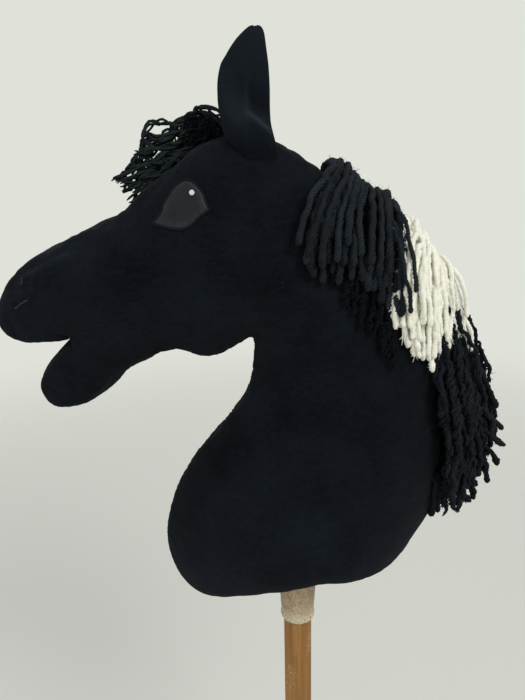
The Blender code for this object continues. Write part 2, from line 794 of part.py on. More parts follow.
def build_forelock(skin, material, collection, cutters):
    """Locks that spring from between the ears and fall over the forehead."""
    face = skin.runs["face"]
    row_line = []
    for k in range(FORELOCKS):
        centre = face[-4].lerp(face[-3], k / (FORELOCKS - 1))
        on_middle = Vector((centre.x, 0, centre.z))
        row_line.append(skin.clear(on_middle, ROW_RADIUS + FORELOCK_SEAT))
    lines = []
    for k in range(FORELOCKS):
        spread = Vector((1, 2 * k / (FORELOCKS - 1) - 1, 1))
        direction = Vector(FORELOCK_RISE) * spread
        fall = (Vector(FORELOCK_FALL) * spread).normalized()
        length = FORELOCK_LENGTH * (1 - FORELOCK_SIDE_CUT * abs(spread.y))
        lines.append(lock_line(skin, row_line[1], direction, fall, length, FORELOCK_TURN))
    return build_yarn("forelock", row_line, lines, material, collection, cutters)


def main():
    clear_scene()
    parts = new_collection("hobby_horse")
    cutters = new_collection("cutters")
    fleece = make_material("black_fleece", (0.010, 0.012, 0.015), 0.9)
    black_yarn = make_material("black_yarn", (0.008, 0.010, 0.012), 0.85)
    white_yarn = make_material("white_yarn", (0.80, 0.78, 0.70), 0.85)
    boucle = make_material("cream_boucle", (0.45, 0.38, 0.25), 0.9)
    wood = make_material("wood", (0.27, 0.13, 0.05), 0.55)
    eye_cloth = make_material("eye_satin", (0.05, 0.055, 0.06), 0.5)
    glint = make_material("eye_white", (0.85, 0.85, 0.85), 0.4)
    thread = make_material("nostril_thread", (0.06, 0.06, 0.06), 0.7)
    fibre = make_material("fibre_filling", (0.8, 0.8, 0.78), 0.95)

    skin = Skin()
    pocket_cutter = build_pocket_cutter(boucle, cutters)
    build_stick(wood, parts)
    build_pocket(boucle, parts)
    for name in skin.panels:
        panel = panel_piece(skin, name, fleece, parts)
        if name == "base_panel":
            add_boolean(panel, pocket_cutter, "DIFFERENCE")
    build_filling(skin, fibre, parts, pocket_cutter)
    for side, tag in ((LEFT, "left"), (RIGHT, "right")):
        build_ear(skin, side, tag, fleece, parts)
        build_eye(skin, side, tag, eye_cloth, glint, parts, cutters)
        build_nostril(skin, side, tag, thread, parts)
    for name, plan in MANE.items():
        yarn = white_yarn if name == "mane_middle" else black_yarn
        build_mane(skin, name, plan, yarn, parts, cutters)
    build_forelock(skin, black_yarn, parts, cutters)


main()
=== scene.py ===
"""Cloth, yarn, thread and wood of a stuffed hobby horse, made round its packed solids.

The head faces -X, +Z is up along the stick, and the horse's left side is at -Y.
"""

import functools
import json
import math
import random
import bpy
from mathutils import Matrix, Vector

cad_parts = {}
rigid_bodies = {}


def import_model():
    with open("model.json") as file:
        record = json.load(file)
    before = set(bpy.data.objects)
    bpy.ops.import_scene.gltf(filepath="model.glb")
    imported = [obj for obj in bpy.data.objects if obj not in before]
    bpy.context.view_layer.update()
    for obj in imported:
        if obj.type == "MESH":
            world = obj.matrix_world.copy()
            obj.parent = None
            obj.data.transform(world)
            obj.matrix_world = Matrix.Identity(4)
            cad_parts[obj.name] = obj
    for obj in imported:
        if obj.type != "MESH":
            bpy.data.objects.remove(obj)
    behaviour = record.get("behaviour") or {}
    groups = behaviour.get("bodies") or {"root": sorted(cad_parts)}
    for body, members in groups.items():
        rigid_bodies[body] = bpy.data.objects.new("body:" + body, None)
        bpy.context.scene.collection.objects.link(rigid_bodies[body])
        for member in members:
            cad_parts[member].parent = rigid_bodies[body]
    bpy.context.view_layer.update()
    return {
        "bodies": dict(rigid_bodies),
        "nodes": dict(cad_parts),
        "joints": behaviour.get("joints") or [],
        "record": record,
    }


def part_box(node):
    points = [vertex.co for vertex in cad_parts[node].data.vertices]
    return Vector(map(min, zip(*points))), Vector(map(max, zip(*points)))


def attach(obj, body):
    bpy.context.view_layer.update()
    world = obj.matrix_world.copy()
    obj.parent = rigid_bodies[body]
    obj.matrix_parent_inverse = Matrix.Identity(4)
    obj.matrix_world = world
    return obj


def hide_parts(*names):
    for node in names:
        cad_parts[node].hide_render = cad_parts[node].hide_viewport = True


bl_info = {
    "name": "Stuffed hobby horse",
    "version": (1, 0, 0),
    "blender": (4, 5, 0),
    "location": "3D View > Sidebar > Hobby horse",
    "description": "Makes the cloth, yarn, thread and wood of a stuffed hobby horse",
    "category": "Add Mesh",
}

import bmesh
import bpy
import numpy as np
from mathutils import Matrix, Vector, noise
from mathutils.bvhtree import BVHTree
from mathutils.geometry import delaunay_2d_cdt
from mathutils.kdtree import KDTree

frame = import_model()

MM = 0.001
LEFT = -1
RIGHT = 1
SIDES = ((LEFT, "left"), (RIGHT, "right"))

# Heights below are in mm above this level, the foot of the head
HEAD_FOOT = 525 * MM

# Pattern of the side panels in mm, clockwise from the corner of the mouth: x, height,
# and half the width of the strip that is sewn on there
MOUTH_CORNER = (-166, 206.5, 20)
UPPER_LIP = [(-180, 203, 20), (-194, 202, 19)]
LIP_FRONT = (-205, 203, 18)
FACE = [(-215, 206, 17), (-221, 213, 16), (-223, 223, 16), (-220, 234, 16),
        (-211, 248, 17), (-199, 259, 18), (-179, 270, 19), (-159, 278, 20),
        (-139, 287, 21), (-122, 294, 22), (-108, 309, 22), (-87, 323, 21),
        (-69, 337, 19), (-50, 344, 16), (-30, 345, 11), (-12, 340, 5)]
POLL = (0, 335, 0)
CREST = [(12, 327, 0), (23, 319, 0), (50, 301, 0), (64, 290, 0), (78, 277, 0),
         (91, 259, 0), (101, 236, 0), (108, 210, 0), (113, 180, 0), (117, 145, 0),
         (119, 115, 0), (118, 90, 0), (117, 67, 0), (114, 45, 0)]
NECK_BACK = (104, 30, 0)
UNDERSIDE = [(90, 16, 12), (74, 8, 24), (56, 4, 32), (36, 3, 37), (16, 4, 39),
             (-4, 0, 40), (-26, -4, 39), (-48, -10, 35), (-66, -17, 28),
             (-82, -21, 19), (-96, -19, 9)]
CHEST_FOOT = (-108, -7, 0)
CHEST = [(-113, 14, 0), (-112, 35, 0), (-105, 61, 0), (-96, 81, 0), (-80, 104, 0),
         (-62, 123, 0), (-47, 142, 0), (-38, 159, 0), (-35, 175, 0), (-33, 191, 0)]
THROAT = (-34, 201, 0)
JAW = [(-43, 196, 6), (-52, 191, 9), (-69, 187, 13), (-88, 194, 15), (-98, 195, 15),
       (-115, 186, 16), (-132, 179, 17), (-150, 162, 18), (-168, 151, 18),
       (-185, 149, 18), (-193, 153, 18)]
CHIN_FRONT = (-196, 160, 18)
LOWER_LIP = [(-198, 169, 18), (-190, 183, 19)]
SEAMS = [("lip_top", MOUTH_CORNER, UPPER_LIP), ("face", LIP_FRONT, FACE),
         ("crest", POLL, CREST), ("base", NECK_BACK, UNDERSIDE),
         ("chest", CHEST_FOOT, CHEST), ("jaw", THROAT, JAW),
         ("lip_low", CHIN_FRONT, LOWER_LIP)]
STRIPS = {"face_gusset": ("face",), "mouth_lining": ("lip_low", "lip_top"),
          "chin_gusset": ("jaw",), "base_panel": ("base",)}
PANELS = ["side_panel_left", "side_panel_right", *STRIPS]

# How the filling swells the cloth
FILL_BULGE = 50 * MM
FILL_REACH = 45 * MM
GUSSET_CROWN = 0.12
BASE_CROWN = 0.10

# Facets of the cloth
SEAM_STEP = 6.5 * MM
RINGS = (1.6 * MM, 4.2 * MM, 8 * MM)
PANEL_GRID = 8 * MM
GUSSET_COLUMNS = [-0.93, -0.78, -0.45, 0, 0.45, 0.78, 0.93]
CLOTH = 1.4 * MM

# Stuffing of the cloth: how far from a seam it is held, its ease, and the folds that are kept
SEAM_HOLD = 4 * MM
CLOTH_EASE = 0.02
STUFFING_FRAMES = 14
WRINKLE_PASSES = 14
WRINKLE_CAP = 2.0 * MM

# Seams: how deep they pull in, how wide, and the gathers beside them
SEAM_DEPTH = 1.7 * MM
SEAM_WIDTH = 1.7 * MM
GATHER = 0.30 * MM
GATHER_LENGTH = 8.5 * MM
GATHER_REACH = 7 * MM

# Lumps of the filling: how many there are to a metre, and how high they are in mm
LUMPS = ((22, 0.9), (70, 0.35))

# Creases in the side panels in mm: points of each line, depth and width
CREASES = [
    ([(-107, 296), (-99, 306), (-89, 317), (-80, 326)], 0.9, 2.6),
    ([(-112, 292), (-104, 302), (-95, 312)], 0.6, 2.4),
    ([(-34, 205), (-27, 206), (-20, 202), (-8, 198), (8, 199)], 1.6, 5.0),
    ([(-166, 206.5), (-158, 209), (-150, 210), (-141, 207)], 1.8, 3.2),
    ([(-199.5, 231), (-197, 233), (-194, 235), (-188.8, 237.5), (-181, 239)], 1.0, 2.0),
]

# Where the seam of the nose catches the light, painted as a paler line, in mm
NOSE_LINE = [(-196, 251), (-186, 257), (-172, 263), (-158, 269)]

# Swells and hollows of the side panels in mm: place, reach along x and z, and height
SWELLS = [
    ((-62, 245), (38, 34), 2.2),
    ((-72, 322), (20, 10), 1.6),
    ((-200, 228), (16, 20), 1.0),
    ((-120, 235), (32, 26), -1.6),
    ((-12, 250), (16, 40), -1.4),
    ((-60, 45), (34, 34), 1.4),
]

# Ear in mm: heights above its foot with the front and back edge
EAR_FOOT = (-32, 328)
EAR_FOOT_Y = 32
EAR_ROWS = [(0, -15, 20), (8, -17, 18.5), (21, -19, 15), (31, -19.7, 14), (43, -19.2, 14),
            (54, -16.8, 13.5), (59, -14, 12.9), (64, -10.4, 12.2), (69, -5.9, 11.5),
            (72.4, -1.6, 10.6), (74.6, 1.8, 8.9), (75.6, 4.4, 6.6)]
EAR_HEIGHT = 76
EAR_CUP = 7
EAR_RIDGE = (-31.5, 356)
EAR_FOLD = 5.5
EAR_VEIN = 1.8
EAR_LEAN_OUT = 0.10
EAR_THICKNESS = 2.6
# rise of the foot from its front to its middle, and the height at which it ends
EAR_FOOT_SLOPE = (10, -3)
EAR_SLOPE_END = 60

# Eye in mm, clockwise from its front tip; tips stay sharp
EYE_OUTLINE = [(-97, 287), (-92, 293), (-89, 300), (-85, 306), (-81, 311), (-76, 314),
               (-71, 314), (-67, 311), (-63, 306), (-61, 300), (-59, 295), (-65, 291),
               (-72, 285), (-78, 283), (-87, 284)]
EYE_TIPS = (0, 10)
EYE_CENTRE = (-76, 299)
GLINT_CENTRE = (-70, 306)
GLINT_RADIUS = 2.1

# Nostril stitches in mm
NOSTRIL_LINES = [[(-200.5, 230.5), (-197, 233), (-194, 235), (-191, 236.4), (-188.5, 237.4)],
                 [(-194.1, 252.5), (-194.0, 250), (-194.4, 247)]]


# Small helpers

def mix(pair, share):
    """The value at a share of the way from the first of a pair to the last."""
    return pair[0] + (pair[1] - pair[0]) * share


def spot(point):
    """A pattern point in mm as x and z in metres."""
    return point[0] * MM, HEAD_FOOT + point[1] * MM


def bump(distance, width):
    return math.exp(-(distance / width) ** 2)


def smooth_share(value, low, high):
    """0 below low, 1 above high and a smooth change between."""
    t = min(1.0, max(0.0, (value - low) / (high - low)))
    return t * t * (3 - 2 * t)


def along_length(path):
    """How far each point of a line is from its start."""
    return np.concatenate(([0], np.cumsum(np.linalg.norm(np.diff(path, axis=0), axis=1))))


def mesh_piece(name, vertices, faces, material, smooth=True):
    mesh = bpy.data.meshes.new(name)
    mesh.from_pydata([tuple(v) for v in vertices], [], [tuple(f) for f in faces])
    mesh.validate()
    if smooth:
        mesh.shade_smooth()
    mesh.materials.append(material)
    obj = bpy.data.objects.new(name, mesh)
    bpy.context.scene.collection.objects.link(obj)
    return obj


def circle(radius, count):
    """Points at equal distances round a circle."""
    angles = [math.tau * k / count for k in range(count)]
    return [(radius * math.cos(a), radius * math.sin(a)) for a in angles]


def band(a, b, count):
    """Faces between two rings of points, of which the first points are a and b."""
    return [(a + k, a + (k + 1) % count, b + (k + 1) % count, b + k) for k in range(count)]


def tube_faces(rings, sides, first=0):
    """Faces of a closed tube whose points lie in rings, from a first point on."""
    last = first + (rings - 1) * sides
    faces = []
    for a in range(first, last, sides):
        faces += band(a, a + sides, sides)
    return faces + [tuple(range(first, first + sides))[::-1], tuple(range(last, last + sides))]


def baked(obj):
    """The object with its modifiers applied."""
    graph = bpy.context.evaluated_depsgraph_get()
    mesh = bpy.data.meshes.new_from_object(obj.evaluated_get(graph))
    obj.modifiers.clear()
    obj.data = mesh
    return obj


def outward(obj, merge=0.0):
    """Turn the faces of a closed mesh outward, with points that lie together made one."""
    bm = bmesh.new()
    bm.from_mesh(obj.data)
    if merge:
        bmesh.ops.remove_doubles(bm, verts=bm.verts, dist=merge)
    bmesh.ops.recalc_face_normals(bm, faces=bm.faces)
    bm.to_mesh(obj.data)
    bm.free()
    return obj


def add_values(obj, name, values):
    """Give each vertex a value that the piece's material reads by name."""
    attribute = obj.data.attributes.new(name, "FLOAT", "POINT")
    attribute.data.foreach_set("value", np.array(values, np.float32))


def on_head(obj, slot, *nodes):
    """A piece of the head, and what it stands for."""
    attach(obj, "head")
    if nodes:
        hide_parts(*nodes)


# Pattern and skin

def pattern_point(point):
    """A pattern point, in mm, as x, half width and height in the model."""
    x, height, half_width = point
    return Vector((x * MM, half_width * MM, HEAD_FOOT + height * MM))


def smooth_segment(before, start, end, after, steps=10):
    """Points on a smooth curve from start to just before end."""
    length = (end - start).length
    leave = (end - before) * (length / ((end - start).length + (start - before).length))
    arrive = (after - start) * (length / ((after - end).length + (end - start).length))
    points = []
    for step in range(steps):
        t = step / steps
        points.append((2 * t**3 - 3 * t**2 + 1) * start + (t**3 - 2 * t**2 + t) * leave
                      + (3 * t**2 - 2 * t**3) * end + (t**3 - t**2) * arrive)
    return points


def smooth_line(points, steps=10, closed=False, sharp=()):
    """A smooth line through points; it may turn sharply at some of them."""
    points = [Vector(p) for p in points]
    count = len(points)
    line = []
    for i in range(count if closed else count - 1):
        j = (i + 1) % count
        before = points[i] if i in sharp or (not closed and i == 0) else points[i - 1]
        last = j in sharp or (not closed and j == count - 1)
        after = points[j] if last else points[(j + 1) % count]
        line += smooth_segment(before, points[i], points[j], after, steps)
    return line if closed else line + [points[-1]]


def respace(points, step):
    """The same line as an array with points at equal distances, both ends kept."""
    points = np.array([tuple(p) for p in points], float)
    lengths = along_length(points)
    count = max(2, round(lengths[-1] / step))
    at = np.linspace(0, lengths[-1], count + 1)
    return np.column_stack([np.interp(at, lengths, points[:, k]) for k in range(points.shape[1])])


def seam_runs():
    """The closed outline as runs of evenly spaced points, one run for each seam."""
    corners = (MOUTH_CORNER, THROAT)
    loop = []
    for name, first, rest in SEAMS:
        loop += [(name, point) for point in [first] + rest]
    lines = {name: [] for name, _, _ in SEAMS}
    for i, (name, point) in enumerate(loop):
        following = loop[(i + 1) % len(loop)][1]
        before = point if point in corners else loop[i - 1][1]
        after = following if following in corners else loop[(i + 2) % len(loop)][1]
        lines[name] += smooth_segment(*map(pattern_point, (before, point, following, after)))
    names = list(lines)
    for name, following in zip(names, names[1:] + names[:1]):
        lines[name].append(lines[following][0].copy())
    return {name: [Vector(p) for p in respace(lines[name], SEAM_STEP)] for name in names}


def distance_to_line(points, line):
    """Least distance from each of many points to a line, all in x and z."""
    nearest = np.full(len(points), np.inf)
    for a, b in zip(line[:-1], line[1:]):
        along = np.clip(((points - a) @ (b - a)) / ((b - a) @ (b - a)), 0, 1)
        nearest = np.minimum(nearest, np.linalg.norm(points - a - np.outer(along, b - a), axis=1))
    return nearest


def inside_outline(points, outline):
    inside = np.zeros(len(points), bool)
    for (ax, az), (bx, bz) in zip(outline, np.roll(outline, -1, axis=0)):
        between = (az > points[:, 1]) != (bz > points[:, 1])
        if az != bz:
            crossing = ax + (points[:, 1] - az) * (bx - ax) / (bz - az)
            inside ^= between & (points[:, 0] < crossing)
    return inside


def outward_directions(outline):
    along = np.roll(outline, -1, axis=0) - np.roll(outline, 1, axis=0)
    out = np.column_stack((-along[:, 1], along[:, 0]))
    return out / np.linalg.norm(out, axis=1)[:, None]


def panel_points(outline):
    """Inner points of a panel: rings that follow the seam, then an even grid."""
    closed = np.vstack((outline, outline[:1]))
    out = outward_directions(outline)
    kept = []
    for depth in RINGS:
        ring = outline - out * depth
        clear = distance_to_line(ring, closed) > 0.8 * depth
        kept.append(ring[inside_outline(ring, outline) & clear])
    low = outline.min(axis=0)
    high = outline.max(axis=0)
    row_height = PANEL_GRID * math.sqrt(3) / 2
    rows = []
    for row in range(int((high[1] - low[1]) / row_height) + 1):
        shift = PANEL_GRID / 2 * (row % 2)
        count = int((high[0] - low[0]) / PANEL_GRID) + 1
        rows += [(low[0] + shift + PANEL_GRID * i, low[1] + row_height * row) for i in range(count)]
    grid = np.array(rows)
    deep = distance_to_line(grid, closed) > RINGS[-1] + 0.5 * PANEL_GRID
    kept.append(grid[inside_outline(grid, outline) & deep])
    return np.vstack(kept)


def solve_over_panel(points, triangles, rim_values, source=0.0, reach=math.inf):
    """Smooth field over a flat panel with given values on its rim.

    With a reach, the field also rises towards source within that distance of the rim.
    """
    count = len(points)
    stiffness = np.zeros((count, count))
    area = np.zeros(count)
    for triangle in triangles:
        for k in range(3):
            a, b, c = (triangle[(k + j) % 3] for j in range(3))
            u = points[b] - points[a]
            v = points[c] - points[a]
            double_area = abs(u[0] * v[1] - u[1] * v[0])
            area[a] += double_area / 6
            weight = (u @ v) / double_area / 2
            stiffness[b, c] -= weight
            stiffness[c, b] -= weight
            stiffness[b, b] += weight
            stiffness[c, c] += weight
    pull = area / reach**2
    stiffness[np.diag_indices(count)] += pull
    rim = len(rim_values)
    load = pull[rim:] * source - stiffness[rim:, :rim] @ rim_values
    inner = np.linalg.solve(stiffness[rim:, rim:], load)
    return np.concatenate((rim_values, inner))


class Skin:
    """Outer surface of the filled head, with the panel of each face."""

    def __init__(self):
        self.runs = seam_runs()
        self.start = {}
        self.seam = []
        for name, line in self.runs.items():
            self.start[name] = len(self.seam)
            self.seam += line[:-1]
        self.outline = np.array([(p.x, p.z) for p in self.seam])
        self.out = outward_directions(self.outline)
        self.bm = bmesh.new()
        self.panel_of = self.bm.faces.layers.int.new("panel")
        self.rows = {}
        self.add_side_panels()
        for name, runs in STRIPS.items():
            self.add_strip(name, runs)
        bmesh.ops.recalc_face_normals(self.bm, faces=self.bm.faces)
        self.shape()

    def add_face(self, vertices, panel):
        corners = list(dict.fromkeys(vertices))
        if len(corners) > 2:
            face = self.bm.faces.new(corners)
            face[self.panel_of] = PANELS.index(panel)

    def add_side_panels(self):
        rim = len(self.seam)
        flat = np.vstack((self.outline, panel_points(self.outline)))
        edges = [(i, (i + 1) % rim) for i in range(rim)]
        result = delaunay_2d_cdt([Vector(p) for p in flat], edges, [], 1, 1e-7)
        triangles = [face for face in result[2] if len(face) == 3]
        half_widths = np.array([point.y for point in self.seam])
        spread = solve_over_panel(flat, triangles, half_widths)
        rise = solve_over_panel(flat, triangles, np.zeros(rim), 1.0, FILL_REACH)
        half = spread + FILL_BULGE * np.sqrt(np.clip(rise, 0, 1))
        self.left = []
        self.right = []
        for i, (x, z) in enumerate(flat):
            on_middle = i < rim and half[i] < 0.4 * MM
            left = self.bm.verts.new((x, 0 if on_middle else -half[i], z))
            self.left.append(left)
            self.right.append(left if on_middle else self.bm.verts.new((x, half[i], z)))
        for triangle in triangles:
            self.add_face([self.left[i] for i in triangle], "side_panel_left")
            self.add_face([self.right[i] for i in triangle], "side_panel_right")

    def direction(self, i):
        x, z = self.out[i % len(self.out)]
        return Vector((x, 0, z))

    def strip_row(self, i, crown):
        """Points across a strip at one place of the seam, left to right."""
        i %= len(self.seam)
        if i not in self.rows:
            left = self.left[i]
            right = self.right[i]
            row = [left]
            for across in GUSSET_COLUMNS:
                lift = self.direction(i) * (self.seam[i].y * crown * (1 - across**2))
                level = Vector((self.seam[i].x, self.seam[i].y * across, self.seam[i].z))
                row.append(left if left is right else self.bm.verts.new(level + lift))
            self.rows[i] = row + [right]
        return self.rows[i]

    def add_strip(self, name, runs):
        crown = BASE_CROWN if name == "base_panel" else GUSSET_CROWN
        for run in runs:
            start = self.start[run]
            for i in range(start, start + len(self.runs[run]) - 1):
                row = self.strip_row(i, crown)
                ahead = self.strip_row(i + 1, crown)
                for k in range(len(GUSSET_COLUMNS) + 1):
                    self.add_face([row[k], row[k + 1], ahead[k + 1], ahead[k]], name)

    def shape(self):
        """Smooth and stuff the surface, then press in its seams, creases and lumps."""
        mesh = bpy.data.meshes.new("skin")
        self.bm.to_mesh(mesh)
        self.bm.free()
        obj = bpy.data.objects.new("skin", mesh)
        bpy.context.scene.collection.objects.link(obj)
        smoothing = obj.modifiers.new("Smooth", "SUBSURF")
        smoothing.levels = 1
        smoothing.render_levels = 1
        mesh = baked(obj).data
        self.polygons = [tuple(p.vertices) for p in mesh.polygons]
        self.panels = [item.value for item in mesh.attributes["panel"].data]
        self.points = vertex_values(mesh, "co")
        normals = vertex_values(mesh, "normal")
        self.find_seams()
        folds = stuffing_wrinkles(obj, self.points, self.to_seam)
        self.points += folds * self.calm()[:, None]
        bpy.data.objects.remove(obj)
        self.points += normals * self.relief(normals)[:, None]
        self.tree = BVHTree.FromPolygons([Vector(p) for p in self.points], self.polygons)

    def find_seams(self):
        """How far each point is from the nearest seam, and how far along that seam."""
        line = respace([(p.x, p.y, p.z) for p in [*self.seam, self.seam[0]]], 3 * MM)
        tree = KDTree(2 * len(line))
        for i, (x, y, z) in enumerate(line):
            tree.insert((x, -y, z), i)
            tree.insert((x, y, z), i)
        tree.balance()
        found = [tree.find(point) for point in self.points]
        self.to_seam = np.array([distance for _, _, distance in found])
        self.along_seam = np.array([i * 3 * MM for _, i, _ in found])

    def calm(self):
        """How freely the cloth folds: the filling is packed hard near the base."""
        return 0.3 + 0.7 * np.clip((self.points[:, 2] - HEAD_FOOT) / (70 * MM), 0, 1)

    def relief(self, normals):
        """How far each point moves out along its normal."""
        flat = self.points[:, [0, 2]]
        on_side = np.abs(normals[:, 1]) > 0.35
        moves = -SEAM_DEPTH * np.exp(-(self.to_seam / SEAM_WIDTH) ** 2)
        # the seams of the jaw and of the underside pull in less than the others
        on_jaw = (flat[:, 1] < HEAD_FOOT + 205 * MM) & (flat[:, 0] < -40 * MM)
        moves[on_jaw] *= 0.55
        moves[flat[:, 1] < HEAD_FOOT + 25 * MM] *= 0.5
        calm = self.calm()
        for i, point in enumerate(self.points):
            along = self.along_seam[i]
            p = Vector(point)
            drift = 5 * noise.noise((along * 45, point[1] * 40, 3.0))
            strength = GATHER * (0.6 + noise.noise((along * 20, 8.0, point[1] * 30)))
            gather = strength * math.sin(math.tau * along / GATHER_LENGTH + drift)
            moves[i] += calm[i] * gather * math.exp(-self.to_seam[i] / GATHER_REACH)
            moves[i] += sum(height * MM * noise.noise(p * scale) for scale, height in LUMPS)
        for line, depth, width in CREASES:
            path = np.array([spot(p) for p in line])
            away = distance_to_line(flat, path) / (width * MM)
            press = -np.exp(-away**2) + 0.45 * np.exp(-(away - 1.9)**2)
            moves += np.where(on_side, depth * MM * press, 0)
        for centre, reach, height in SWELLS:
            away = (flat - np.array(spot(centre))) / (np.array(reach) * MM)
            moves += np.where(on_side, height * MM * np.exp(-(away**2).sum(axis=1)), 0)
        return moves

    def brushed(self):
        """How much painted highlight the fleece gets: along the seams, where it also stands for nap
        pressed flat there, on the line of the nose, at the back of the neck and on the nose.
        """
        flat = self.points[:, [0, 2]]
        x = flat[:, 0] / MM
        h = (flat[:, 1] - HEAD_FOOT) / MM
        nose_line = np.array([spot(p) for p in NOSE_LINE])
        line = np.exp(-(distance_to_line(flat, nose_line) / (1.2 * MM)) ** 2)
        back = np.clip((x - 30) / 60, 0, 1) * np.clip((200 - h) / 60, 0, 1)
        nose = np.clip((-130 - x) / 40, 0, 1)
        return (0.8 * np.exp(-(self.to_seam / (1.5 * MM)) ** 2) + 0.5 * line
                + 0.10 * back + 0.04 * nose)

    def surface(self, x, z, side):
        """Point and direction of the skin at x and z on one side of the head."""
        point, normal, _, _ = self.tree.ray_cast(Vector((x, side, z)), Vector((0, -side, 0)))
        return point, normal

    def clear(self, point, distance):
        """The point, moved out of the skin until it is that far from it."""
        point = Vector(point)
        nearest, normal, _, _ = self.tree.find_nearest(point)
        if (point - nearest).dot(normal) < distance:
            return nearest + normal * distance
        return point

    def inside(self, point, depth):
        """The point, moved into the head until it is that deep under the skin."""
        nearest, normal, _, _ = self.tree.find_nearest(point)
        if (point - nearest).dot(normal) > -depth:
            return nearest - normal * depth
        return point

    def crest_at(self, share):
        """Place on the crest seam, and the direction out of the neck there."""
        line = self.runs["crest"]
        at = share * (len(line) - 1)
        k = min(int(at), len(line) - 2)
        i = self.start["crest"] + k
        out = self.direction(i).lerp(self.direction(i + 1), at - k)
        point = line[k].lerp(line[k + 1], at - k)
        return Vector((point.x, 0, point.z)), out.normalized()


def vertex_values(mesh, name):
    """A vector of every vertex, as rows of an array."""
    values = np.empty(3 * len(mesh.vertices))
    mesh.vertices.foreach_get(name, values)
    return values.reshape(-1, 3)


def stuffing_wrinkles(obj, rest, to_seam):
    """Small folds that the filling's pressure makes in cloth held at its seams."""
    scene = bpy.context.scene
    held = obj.vertex_groups.new(name="seams")
    for i, distance in enumerate(to_seam):
        held.add([i], bump(distance, SEAM_HOLD), "REPLACE")
    cloth = obj.modifiers.new("Stuffing", "CLOTH")
    settings = cloth.settings
    settings.vertex_group_mass = "seams"
    settings.use_pressure = True
    settings.uniform_pressure_force = 2.0
    settings.effector_weights.gravity = 0
    settings.quality = 4
    settings.bending_stiffness = 0.2
    settings.shrink_min = -CLOTH_EASE
    cloth.collision_settings.use_collision = False
    for frame in range(1, STUFFING_FRAMES + 1):
        scene.frame_set(frame)
    moved = vertex_values(baked(obj).data, "co") - rest
    scene.frame_set(1)
    edges = np.array([tuple(edge.vertices) for edge in obj.data.edges])
    ends = np.concatenate((edges[:, 0], edges[:, 1]))
    others = np.concatenate((edges[:, 1], edges[:, 0]))
    degree = np.bincount(ends)[:, None]
    swell = moved
    for _ in range(WRINKLE_PASSES):
        total = np.column_stack([np.bincount(ends, swell[others, k]) for k in range(3)])
        swell = total / degree
    folds = moved - swell
    size = np.linalg.norm(folds, axis=1)[:, None]
    return folds * np.minimum(1, WRINKLE_CAP / np.maximum(size, 1e-9))


@functools.lru_cache(maxsize=1)
def head_skin():
    return Skin()


# Yarn and thread

NOISE_SEED = 8

# Ridges and hollows round the section of a strand of four plies
FOUR_PLIES = np.array([1.0, -1.0] * 4)


def unit(vector):
    return vector / max(np.linalg.norm(vector), 1e-12)


def frames_along(path):
    """Two directions across a line at each of its points, with no twist of their own."""
    ahead = np.gradient(path, axis=0)
    ahead /= np.maximum(np.linalg.norm(ahead, axis=1)[:, None], 1e-12)
    across = np.cross(ahead[0], (0.3, 1.0, 0.2))
    rows = []
    for direction in ahead:
        across = unit(across - direction * (across @ direction))
        rows.append(across)
    rows = np.array(rows)
    return rows, np.cross(ahead, rows)


